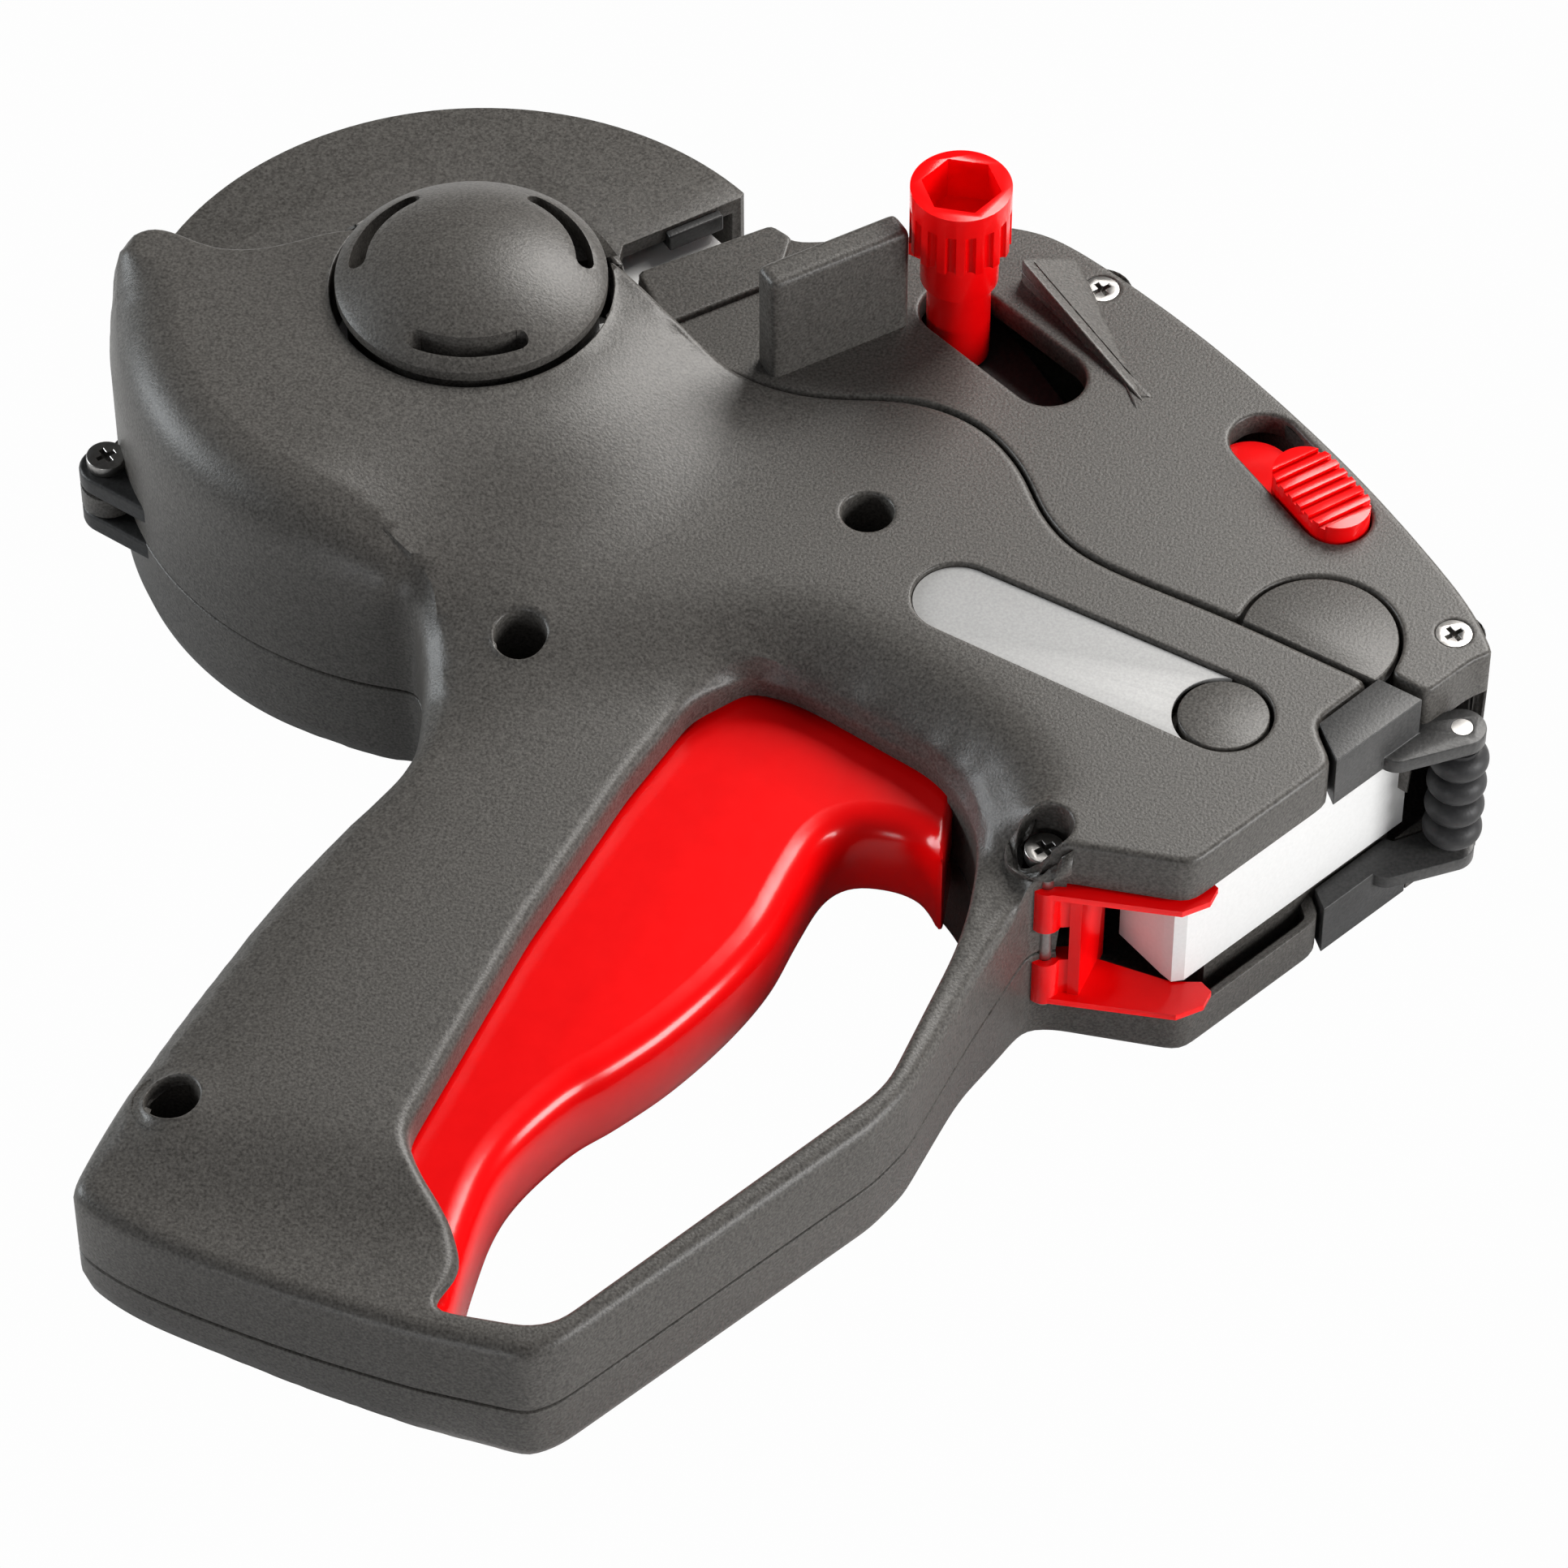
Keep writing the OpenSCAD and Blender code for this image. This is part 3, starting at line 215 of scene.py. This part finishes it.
def skin(rims, height, grid, soft=0):
    """Moulded skin inside plan rims, each (loop, edge radius, floor), outline anticlockwise, holes clockwise.
    Its z is height(points), averaged with the neighbours soft times, less a quarter round along every rim;
    from there a wall goes down to the rim's floor and ends in a narrow lip turned inwards. Returns vertices
    and faces."""
    lip = 0.35
    least_wall = 0.4
    rims = [(loop, np.broadcast_to(edge, len(loop)), floor) for loop, edge, floor in rims]
    flat, faces, starts = triangles([loop for loop, edge, floor in rims], loose_points(rims, grid))
    z = height(flat)
    pair = np.concatenate([faces[:, [0, 1]], faces[:, [1, 2]], faces[:, [2, 0]]])
    pair = np.concatenate([pair, pair[:, ::-1]])
    count = np.maximum(np.bincount(pair[:, 0], minlength=len(z)), 1)
    for _ in range(soft):
        z = np.bincount(pair[:, 0], weights=z[pair[:, 1]], minlength=len(z)) / count
    for loop, edge, floor in rims:
        gap, side, nearest = away(flat, loop)
        turn = edge[nearest]
        short = turn - np.clip(gap, 0, turn)
        z = z - (turn - np.sqrt(turn ** 2 - short ** 2))
    vertices, polygons = [np.column_stack([flat, z])], [faces]
    total = len(flat)
    for (loop, edge, floor), start in zip(rims, starts):
        n = len(loop)
        top = np.arange(start, start + n)
        wall, turned_in = np.arange(total, total + 2 * n).reshape(2, n)
        foot = np.minimum(np.broadcast_to(floor, n), z[top] - least_wall)
        vertices += [np.column_stack([loop, foot + lip]), np.column_stack([loop + lip * inwards(loop), foot])]
        for upper, lower in ((top, wall), (wall, turned_in)):
            quad = np.stack([lower, np.roll(lower, -1), np.roll(upper, -1), upper], 1)
            polygons += [quad[:, [0, 1, 2]], quad[:, [0, 2, 3]]]
        total += 2 * n
    return np.concatenate(vertices), np.concatenate(polygons)


def piece(name, vertices, faces, material, body, replaced):
    """A new mesh from plan millimetres, shaded smooth except across sharp edges, riding on a body, in place
    of the CAD nodes that it replaces."""
    sharp = 32
    mesh = bpy.data.meshes.new(name)
    mesh.from_pydata(((vertices + origin) * 0.001).tolist(), [], faces.tolist())
    mesh.shade_smooth()
    mesh.set_sharp_from_angle(angle=np.radians(sharp))
    mesh.materials.append(material)
    shape = bpy.data.objects.new(name, mesh)
    bpy.context.scene.collection.objects.link(shape)
    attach(shape, body)
    if replaced:
        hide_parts(*replaced)
    return shape


def on_front(u, d):
    """The plan point u along the slanted front face from its foot and d behind it."""
    foot_x, foot_y = 60, -20
    tilt = np.radians(54.5)
    x = foot_x + u * np.cos(tilt) - d * np.sin(tilt)
    y = foot_y + u * np.sin(tilt) + d * np.cos(tilt)
    return np.array([x, y])


# Plan curves: the seam beside the head cover, the edge that the roll cover closes on, the grip's rear, the
# whole outline, the finger opening, and the crease where the deck turns down into the skirt.
seam = curve([(-31.4, 63.2), (-21.4, 57.5), (-8.6, 55.4), (5.9, 57.2), (15.9, 54.7), (23.2, 48.2),
              (29.5, 38.2), (37.7, 32), (57.7, 25.3), (78.3, 17.6)], 4)
raised_edge = curve([(-106.8, 61.4), (-104.3, 62), (-100.9, 61.2), (-95.7, 59.8), (-89.5, 60.9),
                     (-83.2, 64.5), (-80.3, 66.4), (-72, 69)], 4)
hub = (-58, 59.5)
housing_r = 52
grip_rear = curve([(-54, 7.6), (-50.5, -2), (-48.5, -17), (-52.7, -26.8), (-58.2, -37.7), (-63.2, -51.4),
                   (-67.7, -66), (-71.8, -82.3), (-74.3, -95), (-73.3, -98.4), (-63, -103.2),
                   (-43.6, -107.7), (-25.5, -110.5)], 4)
casing_outline = np.vstack([
    [(60, -20), on_front(26.8, 0), on_front(30.2, 6.95), on_front(41, 7.1)], seam[::-1],
    [(-41, 70), (-58, 62)], raised_edge[::-1], arc(hub, housing_r, 182, 272, 60), grip_rear,
    [(-10, -111.4), (-6.4, -108.6), (9.1, -87.7), (25.9, -65), (29.1, -58.6), (33.6, -39.5), (38.6, -21.5),
     (42, -20)]])
window = np.vstack([
    [(-13.2, 0.5), (-18.7, -15.4), (-26, -43.5), (-33, -79.8)],
    curve([(-32.8, -82), (-29.8, -86.6), (-25.2, -91.5), (-22, -97.6), (-22.4, -101.5), (-24, -105)], 3),
    [(-23.4, -106.2), (-10.9, -106.2), (-7.3, -104.5), (24.5, -60)],
    curve([(26.2, -56.5), (28.6, -43.2), (30.6, -32), (30.8, -22), (29, -12.5), (22.4, -3.8), (14, 0.6),
           (0.8, 6.6), (-6.6, 7.6)], 3)])
crease = curve([(40.5, -20), (35, -12), (25.5, -0.5), (14, 6.5), (0, 13), (-20, 14.5), (-40, 15),
                (-60, 20)], 3)
deck_top = 20
grip_top = 14.5


def casing_height(points, face, turn, guard, corner):
    """Height of a casing half over the middle plane. The deck is flat and drops by a smooth step across the
    skirt below its crease, to the grip or to the guard, which rises to its corner height at the skirt. The
    grip is flat, with a bevel along its rear, and falls a little to the finger opening. The roll housing is a
    disc whose face eases down to the deck in front of the hub, and to the grip over a turn along its edge."""
    def ease(t):
        t = np.clip(t, 0, 1)
        return t * t * (3 - 2 * t)
    x, y = points.T
    # The skirt's width at each x, and where the grip begins and ends at each y.
    gap, side, nearest = away(points, crease, closed=False)
    width = np.interp(x, [-49, -36, -20, -11.5, 1, 14.5, 23.3, 37.5], [28, 27, 17, 9.5, 5, 4.6, 3.6, 3.2])
    rear = np.interp(-y, [12, 50.4, 84.4, 96.4], [-50, -62, -71.6, -73.5])
    rim = np.interp(-y, [-2.4, 50.4, 81.6, 96.4], [-9, -22.5, -29, -17])
    share = (x - rear) / (rim - rear)
    bevel = 0.8 * (grip_top - guard) * np.clip(1 - (x - rear) / 6, 0, 1.4)
    grip = grip_top - bevel - 0.7 * np.clip(share / 0.5 - 1, 0, 1) ** 2
    grip = guard + (grip - guard) * (1 - ease((-y - 84) / 14))
    low = guard + (corner - guard) * ease((y + 45) / 25)
    deck = deck_top + (np.where(share < 1, grip, low) - deck_top) * ease(side * gap / width)
    # The housing's face, how far a point lies within its rim, and in which direction from the hub.
    lift = face - (face - deck_top) * ease((x + 42) / 36)
    inside = housing_r - np.hypot(x - hub[0], y - hub[1])
    around = np.degrees(np.arctan2(y - hub[1], x - hub[0])) % 360
    drum = deck + (lift - deck) * (1 - ease((around - 250) / 40) * (1 - ease(inside / turn / 2.4)))
    return np.where(inside > 0, np.maximum(deck, drum), deck)


# Each edge has its own rounding: sharp along the head, broad along the roll housing, the guard, the heel and
# the grip's side of the opening.
outline = softened(spaced(casing_outline, 1.2), 3)
outline_x, outline_y = outline.T
opening = softened(spaced(window[::-1], 1.2), 3)
opening_x, opening_y = opening.T
on_drum = (np.hypot(*(outline - hub).T) > housing_r - 0.5) & (outline_y > 6) & (outline_x < -56)
around = np.degrees(np.arctan2(outline_y - hub[1], outline_x - hub[0])) % 360
drum_edge = np.interp(around, [178, 192, 256, 272], [3.5, 10, 10, 5])
behind_grip = (outline_x < -44) & (outline_y < 8)
below_deck = outline_y < -24
plain_edge = np.where(below_deck | behind_grip, 2.3, 1.0)
at_heel = outline_y < -60
heel_edge = np.interp(outline_x, [-55, -10], [7, 2.7])
right_edge = softened(np.where(on_drum, drum_edge, plain_edge), 10)
left_edge = softened(np.select([on_drum, at_heel], [0.6 * drum_edge, heel_edge], plain_edge + 0.4), 10)
beside_grip = (opening_x < -13) & (opening_y > -101)
inner_edge = softened(np.where(beside_grip, 1.8, 1.0), 4)
# The walls go down to the parting plane. They stop higher at the room for the label's way and the gate in
# front, just under the panel along the seam, above the roll where the cover closes on the housing, and at the
# trigger's room under the skirt and in the grip.
parting = -2
along_seam = away(outline, seam, False)[0] < 1.2
in_front = (outline_x > 42.5) & (outline_y < 24)
over_roll = (outline_x > -104) & (outline_x < -33) & (outline_y > 58)
outer_floor = np.select([along_seam, in_front, over_roll], [17.2, 11.8, 15.6], parting)
under_skirt = (opening_x < 24.5) & (opening_y > -13)
in_grip = (opening_x < -13.9) & (opening_y > -105.2)
window_floor = np.where(under_skirt | in_grip, 8.7, parting)
hub_hole = round_hole(hub, 20.2, 84)
button_at = (59.5, 7.7)
stripe = spaced(strap((20, 21.4), button_at, 6.5, 6.9), 0.8)[::-1]
# Each screw's place and the floor of its hole.
screws = [((4.5, 34.7), 0.5), ((-38, 4), 0.5), ((-64.5, -82.1), 0.5), ((39.5, -16.8), 13)]
screw_holes = [(round_hole(at, 3.7, 32), 0.5, floor) for at, floor in screws]
right_rims = [(outline, right_edge, outer_floor), (opening, inner_edge, window_floor), (hub_hole, 0.3, 14),
              (stripe, 0.35, 17)] + screw_holes


def right_height(points):
    """The right half's height: a raised roll housing and a low guard."""
    return casing_height(points, face=27.5, turn=11, guard=10.5, corner=12)


vertices, faces = skin(right_rims, right_height, grid=1.9, soft=10)
right_casing = piece("right_casing_half", vertices, faces, shell_plastic, "casing",
                     ["right_body_shell"])

left_rims = [(outline, left_edge, np.maximum(outer_floor, -parting)),
             (opening, 1.3, np.maximum(window_floor, -parting)), (hub_hole, 0.3, 14)]


def left_height(points):
    """The left half's height, measured downwards: a roll housing level with the deck and a high guard."""
    return casing_height(points, face=deck_top, turn=6, guard=13, corner=19)


vertices, faces = skin(left_rims, left_height, grid=2.4, soft=10)
left_casing = piece("left_casing_half", vertices * [1, 1, -1], faces[:, ::-1], shell_plastic, "casing",
                    ["left_body_shell"])

# Right head cover
# A separate moulding of the same plastic, screwed on beside the casing's wavy seam: a flat panel with
# openings for the selector, the slide button and the ink door, a thumb fin, a low ledge, and a ridge beside
# the selector's slot.
knob_at, slot_end = on_front(49.1, 97.4), on_front(49.1, 79)
slide_from, slide_to = (56.4, 60), (68.6, 47.3)
door_at = np.array([70, 24.5])
nose_corner = (94.4, 26.2)
top_edge = curve([(-16.5, 85.8), (-3, 89.5), (8, 93.8), (14.1, 95.3), (24.1, 92.5), (45.9, 77.9),
                  (68.6, 58.2), (87.7, 37.3), nose_corner], 4)
beside_door = seam[np.hypot(*(seam - door_at).T) > 11.4]
cover_outline = np.vstack([[on_front(44.8, 0), on_front(55, 0)], top_edge[::-1], [(-20.5, 87.7), (-38, 73.6)],
                           beside_door, arc(door_at, 11.1, 178, -26, 40)])
panel = softened(spaced(cover_outline, 1.0), 3)
panel = panel + 0.4 * inwards(panel)
at_nose = away(panel, np.array([on_front(44, 0), on_front(55, 0), nose_corner]), False)[0] < 1.6
at_seam = (away(panel, seam, False)[0] < 1.6) | (np.hypot(*(panel - door_at).T) < 12)
at_roll = (panel[:, 0] < -15) & (panel[:, 1] > 64)
panel_floor = np.select([at_nose, at_seam, at_roll], [12, 17.2, 16], parting)
knob_slot = spaced(strap(knob_at, slot_end, 5.5, 5.5), 0.8)[::-1]
slide_slot = spaced(strap(slide_from, slide_to, 5, 5), 0.8)[::-1]
panel_rims = [(panel, softened(np.where(at_seam, 0.5, 0.7), 3), panel_floor), (knob_slot, 0.6, 16),
              (slide_slot, 0.6, 16), (round_hole((28.5, 85), 2.65, 28), 0.2, 18),
              (round_hole((87.9, 28.9), 2.65, 28), 0.2, 18)]
ridge = np.array([(39, 63), (24, 90.4), (16.4, 84.5)])
ridge_rise = 4.2
along_fin, across_fin = np.array([0.7502, 0.6613]), np.array([-0.6613, 0.7502])
fin_start = np.array([-13.7, 60.5]) - 2.2 * along_fin
fin_end = np.array([-0.2, 72.4]) + 2.2 * along_fin
to_side = 2.4 * across_fin
fin = np.array([fin_start - to_side, fin_end - to_side, fin_end + to_side, fin_start + to_side])
fin_top = 38.5
ledge = np.array([(-31, 63.9), (-17, 76.2), (-16.9, 85.2), (-20.4, 87.1), (-37.2, 73.6)])
ledge_top = 20.9


def level(z):
    """A height function for skin that gives every point the same z."""
    return lambda points: np.full(len(points), float(z))


def ridge_height(points):
    """A plane through the ridge's first two corners on the panel and its third, raised above it."""
    corners = np.vstack([ridge.T, [1, 1, 1]])
    shares = np.linalg.solve(corners, np.vstack([points.T, np.ones(len(points))]))
    return deck_top + ridge_rise * shares[2]


foot_in_panel = 19
cover_skins = [skin(panel_rims, level(deck_top), grid=2.0),
               skin([(softened(spaced(ridge, 0.7), 3), 0.3, foot_in_panel)], ridge_height, grid=1.2),
               skin([(softened(spaced(fin, 0.5), 5), 1.1, foot_in_panel)], level(fin_top), grid=1.0),
               skin([(softened(spaced(ledge, 0.8), 1), 0.5, foot_in_panel)], level(ledge_top), grid=1.5)]
starts = np.cumsum([0] + [len(vertices) for vertices, faces in cover_skins])
vertices = np.concatenate([vertices for vertices, faces in cover_skins])
faces = np.concatenate([faces + start for start, (_, faces) in zip(starts, cover_skins)])
right_cover = piece("right_cover", vertices, faces, shell_plastic, "casing",
                    ["right_head_cover"])

# These three are mouldings with an even wall, which grows inwards from the skin.
for moulding in (right_casing, left_casing, right_cover):
    wall = moulding.modifiers.new("wall", "SOLIDIFY")
    wall.thickness = 0.0018
    wall.offset = -1

# Hinge lugs
# A rounded black ear on each casing half at the rear of the roll housing, above and below the roll cover's
# knuckle; the hinge screw goes through both.
black_plastic = moulded("black plastic", (0.014, 0.014, 0.014), (0.032, 0.032, 0.032), 0.25, 0.42, 0.0005)
hinge_at, ear_root = (-106.5, 35), (-96.1, 33.8)
ear = spaced(strap(hinge_at, ear_root, 4, 7), 0.8)


def both_sides(loop, edge, half, grid):
    """A closed piece, the same above and below z = 0, with half its thickness given: a flat skin over the
    loop, its wall straight down to that plane, and its mirror image, which shares the wall's last ring."""
    n = len(loop)
    top, faces = skin([(loop, edge, 0)], level(half), grid)
    top[-n:, :2] = loop
    under = faces[:, ::-1] + len(top)
    under = np.where(under >= 2 * len(top) - n, under - len(top), under)
    return np.concatenate([top, top[:-n] * [1, 1, -1]]), np.concatenate([faces, under])


vertices, faces = both_sides(ear, edge=0.6, half=1.55, grid=1.5)
for name, middle in (("right_hinge_lug", 3.75), ("left_hinge_lug", -3.75)):
    piece(name, vertices + [0, 0, middle], faces, black_plastic, "casing", [])

# Trigger
# A red paddle of polished plastic that turns on a pin in the heel. Its finger side is a smooth wave with well
# rounded edges; the arm on top reaches forward under the skirt.
red_plastic = moulded("red plastic", (0.84, 0.001, 0.002), (0.90, 0.002, 0.003), 0.3, 0.2, 0.004, 0.02)
finger_side = curve([(-21.4, -105.6), (-22, -93.6), (-20.8, -78.9), (-15.2, -66.9), (-9.9, -60.5),
                     (-4, -52.6), (1.6, -42.6), (5.4, -33), (7.3, -23.5), (9.3, -15.6), (12.6, -12.2),
                     (18, -11.8), (22, -13)], 5)
grip_side = [(25.6, -16.2), (24.6, -1), (14, 7.5), (3, 14), (-8, 15), (-14.8, 0), (-23, -15), (-31, -43),
             (-38, -78), (-36.5, -82.6), (-33, -87.6), (-28, -92.7), (-27, -98), (-26, -105.6)]
trigger_outline = np.vstack([finger_side, grip_side])
paddle = softened(spaced(trigger_outline, 0.9), 2)
finger_edge = softened(np.where(away(paddle, finger_side, False)[0] < 0.6, 4.2, 1.2), 10)
vertices, faces = both_sides(paddle, finger_edge, half=8, grid=1.4)
piece("trigger_paddle", vertices, faces, red_plastic, "trigger", ["trigger"])

# Heel pin
# The short steel pin that the trigger turns on, with chamfered ends and a groove at its middle. It is held
# between the two halves of the heel.
steel = moulded("steel", (0.30, 0.29, 0.28), (0.42, 0.41, 0.40), 0.3, 0.34, 0.0006, 0.05)
steel.node_tree.nodes["Principled BSDF"].inputs["Metallic"].default_value = 1


def turned(profile, n):
    """A solid of revolution about an upright axis, from a profile of (radius, height) pairs going up, closed
    by a flat fan of triangles at each end."""
    radius, z = np.array(profile, float).T
    turn = np.linspace(0, 2 * np.pi, n, endpoint=False)
    x, y = np.outer(radius, np.cos(turn)), np.outer(radius, np.sin(turn))
    ring = np.stack([x, y, np.outer(z, np.ones(n))], 2)
    step = np.arange(n)
    ahead = np.roll(step, -1)
    base = n * np.arange(len(z) - 1)[:, None]
    lower = np.stack([base + step, base + ahead, base + n + ahead], 2).reshape(-1, 3)
    upper = np.stack([base + step, base + n + ahead, base + n + step], 2).reshape(-1, 3)
    last = n * len(z)
    foot = np.stack([ahead, step, np.full(n, last)], 1)
    head = np.stack([last - n + step, last - n + ahead, np.full(n, last + 1)], 1)
    vertices = np.vstack([ring.reshape(-1, 3), [(0, 0, z[0]), (0, 0, z[-1])]])
    return vertices, np.concatenate([lower, upper, foot, head])


pin_profile = [(0.9, -7.6), (1.3, -7.2), (1.3, -0.5), (1.1, -0.2), (1.1, 0.2), (1.3, 0.5), (1.3, 7.2),
               (0.9, 7.6)]
heel_pin_at = [-21, -106.48, 0]
vertices, faces = turned(pin_profile, 32)
piece("heel_pin", vertices + heel_pin_at, faces, steel, "casing", ["trigger_pivot_pin"])

# Left head cover, ink door, roll cover, hubs, stripe, brackets, controls and works
# Flat mouldings, turned and pressed pieces, screwed, clipped or pushed into place. They are the CAD solids,
# each in the finish of its material slot except the nose brackets, which get a plastic of their own, and
# those named below have edges rounded by that width in mm.
bracket_plastic = moulded("bracket plastic", (0.030, 0.030, 0.030), (0.062, 0.061, 0.060), 0.25, 0.4, 0.0005)
stripe_plastic = moulded("stripe plastic", (0.30, 0.30, 0.30), (0.38, 0.38, 0.375), 0.25, 0.4, 0.0004, 0.05)
paper = moulded("paper", (0.66, 0.66, 0.655), (0.71, 0.71, 0.705), 0.3, 0.7, 0.0006, 0.06)
cardboard = moulded("cardboard", (0.36, 0.23, 0.11), (0.44, 0.29, 0.14), 0.3, 0.8, 0.001)
rubber = moulded("rubber", (0.016, 0.016, 0.017), (0.028, 0.028, 0.029), 0.3, 0.5, 0.0006)
type_rubber = moulded("type rubber", (0.55, 0.51, 0.44), (0.64, 0.60, 0.52), 0.3, 0.6, 0.0008)
ink_foam = moulded("ink foam", (0.012, 0.010, 0.018), (0.026, 0.020, 0.036), 0.2, 0.8, 0.0009, 0.6)
finishes = {"shell_plastic": shell_plastic, "black_plastic": black_plastic, "red_plastic": red_plastic,
            "stripe_plastic": stripe_plastic, "steel": steel, "paper": paper, "cardboard": cardboard,
            "roller_rubber": rubber, "band_rubber": type_rubber, "ink_felt": ink_foam}
rounding = {"left_head_cover": 1.0, "ink_door": 0.25, "roll_cover": 1.1, "right_roll_hub": 0.6,
            "stripe_plate": 0.15, "right_nose_bracket": 0.5, "left_nose_bracket": 0.5, "selector_knob": 0.3,
            "selector_collar": 0.4, "slide_button": 0.3, "feed_gate": 0.3, "release_button": 0.3,
            "roll_cover_latch": 0.3, "shell_screws": 0.2, "cover_screws": 0.2, "lid_pin": 0.2}
for part in frame["record"]["subparts"]:
    solid = nodes[part["node"]]
    solid.data.materials.clear()
    own = bracket_plastic if part["node"].endswith("nose_bracket") else finishes[part["material_slot"]]
    solid.data.materials.append(own)
    solid.data.shade_smooth()
    if part["node"] in rounding:
        weld = solid.modifiers.new("weld", "WELD")
        weld.merge_threshold = 1e-6
        merge = solid.modifiers.new("flat faces", "DECIMATE")
        merge.decimate_type = "DISSOLVE"
        merge.angle_limit = np.radians(0.6)
        edge = solid.modifiers.new("rounded edges", "BEVEL")
        edge.width = rounding[part["node"]] * 0.001
        edge.segments = 3
        edge.limit_method = "ANGLE"
        edge.angle_limit = np.radians(34)
        edge.harden_normals = True


# Stage
# A plain floor under the gun, white to the camera, a soft key light from behind on the right, and a low light
# on either side and in front.
def lamp(name, at, aim, size, power, tint):
    """A square soft box that faces the aim point."""
    light = bpy.data.lights.new(name, "AREA")
    light.size = size
    light.energy = power
    light.color = tint
    box = bpy.data.objects.new(name, light)
    box.location = at
    box.rotation_euler = (Vector(aim) - Vector(at)).to_track_quat("-Z", "Y").to_euler()
    bpy.context.scene.collection.objects.link(box)


lamp("key soft box", (0.3, 0.68, 0.66), (0.02, 0, 0.02), 0.5, 12, (1, 0.98, 0.95))
lamp("right soft box", (0.88, -0.15, 0.3), (0, 0, 0.02), 0.35, 7.5, (1, 1, 1))
lamp("left soft box", (-0.85, 0.05, 0.3), (0, 0, 0.02), 0.35, 5, (0.92, 0.97, 1))
lamp("low front soft box", (-0.25, -0.9, 0.1), (0, 0, 0.02), 0.25, 1.5, (0.96, 0.98, 1))

# The floor lies a hair under the gun, so that it doesn't meet the gun's lowest face.
under_gun = -0.0003
white = (0.985, 0.985, 0.985, 1)
floor_corners = [(-3, -3, under_gun), (3, -3, under_gun), (3, 3, under_gun), (-3, 3, under_gun)]
floor_mesh = bpy.data.meshes.new("floor")
floor_mesh.from_pydata(floor_corners, [], [(0, 1, 2, 3)])
floor = bpy.data.objects.new("floor", floor_mesh)
bpy.context.scene.collection.objects.link(floor)
pale = bpy.data.materials.new("pale floor")
pale.use_nodes = True
tree = pale.node_tree
tree.nodes["Principled BSDF"].inputs["Base Color"].default_value = (0.8, 0.8, 0.8, 1)
tree.nodes["Principled BSDF"].inputs["Roughness"].default_value = 0.8
rays = tree.nodes.new("ShaderNodeLightPath")
glow = tree.nodes.new("ShaderNodeEmission")
mix = tree.nodes.new("ShaderNodeMixShader")
glow.inputs["Color"].default_value = white
tree.links.new(rays.outputs["Is Camera Ray"], mix.inputs["Fac"])
tree.links.new(tree.nodes["Principled BSDF"].outputs["BSDF"], mix.inputs[1])
tree.links.new(glow.outputs["Emission"], mix.inputs[2])
tree.links.new(mix.outputs["Shader"], tree.nodes["Material Output"].inputs["Surface"])
floor_mesh.materials.append(pale)

# The world lights the gun evenly, is darker in reflections, and white where the camera sees it.
world = bpy.data.worlds.new("studio")
world.use_nodes = True
tree = world.node_tree
rays = tree.nodes.new("ShaderNodeLightPath")
mirrored = tree.nodes.new("ShaderNodeMixRGB")
mirrored.inputs["Color1"].default_value = (0.15, 0.15, 0.155, 1)
mirrored.inputs["Color2"].default_value = (0.06, 0.06, 0.06, 1)
backdrop = tree.nodes.new("ShaderNodeMixRGB")
backdrop.inputs["Color2"].default_value = white
tree.links.new(rays.outputs["Is Glossy Ray"], mirrored.inputs["Fac"])
tree.links.new(rays.outputs["Is Camera Ray"], backdrop.inputs["Fac"])
tree.links.new(mirrored.outputs["Color"], backdrop.inputs["Color1"])
tree.links.new(backdrop.outputs["Color"], tree.nodes["Background"].inputs["Color"])
bpy.context.scene.world = world

# Camera
# A long lens above the gun's lower right, aimed at the middle of the label's way.
aim = Vector(origin) * 0.001
sight = Vector((0.1378, -0.6481, 0.7490))
distance = 1.0112
camera_data = bpy.data.cameras.new("camera")
camera_data.lens = 167.7
camera_data.sensor_width = 36
camera = bpy.data.objects.new("camera", camera_data)
camera.location = aim + distance * sight
camera.rotation_euler = (-sight).to_track_quat("-Z", "Y").to_euler()
bpy.context.scene.collection.objects.link(camera)
bpy.context.scene.camera = camera
bpy.context.scene.view_settings.view_transform = "Standard"
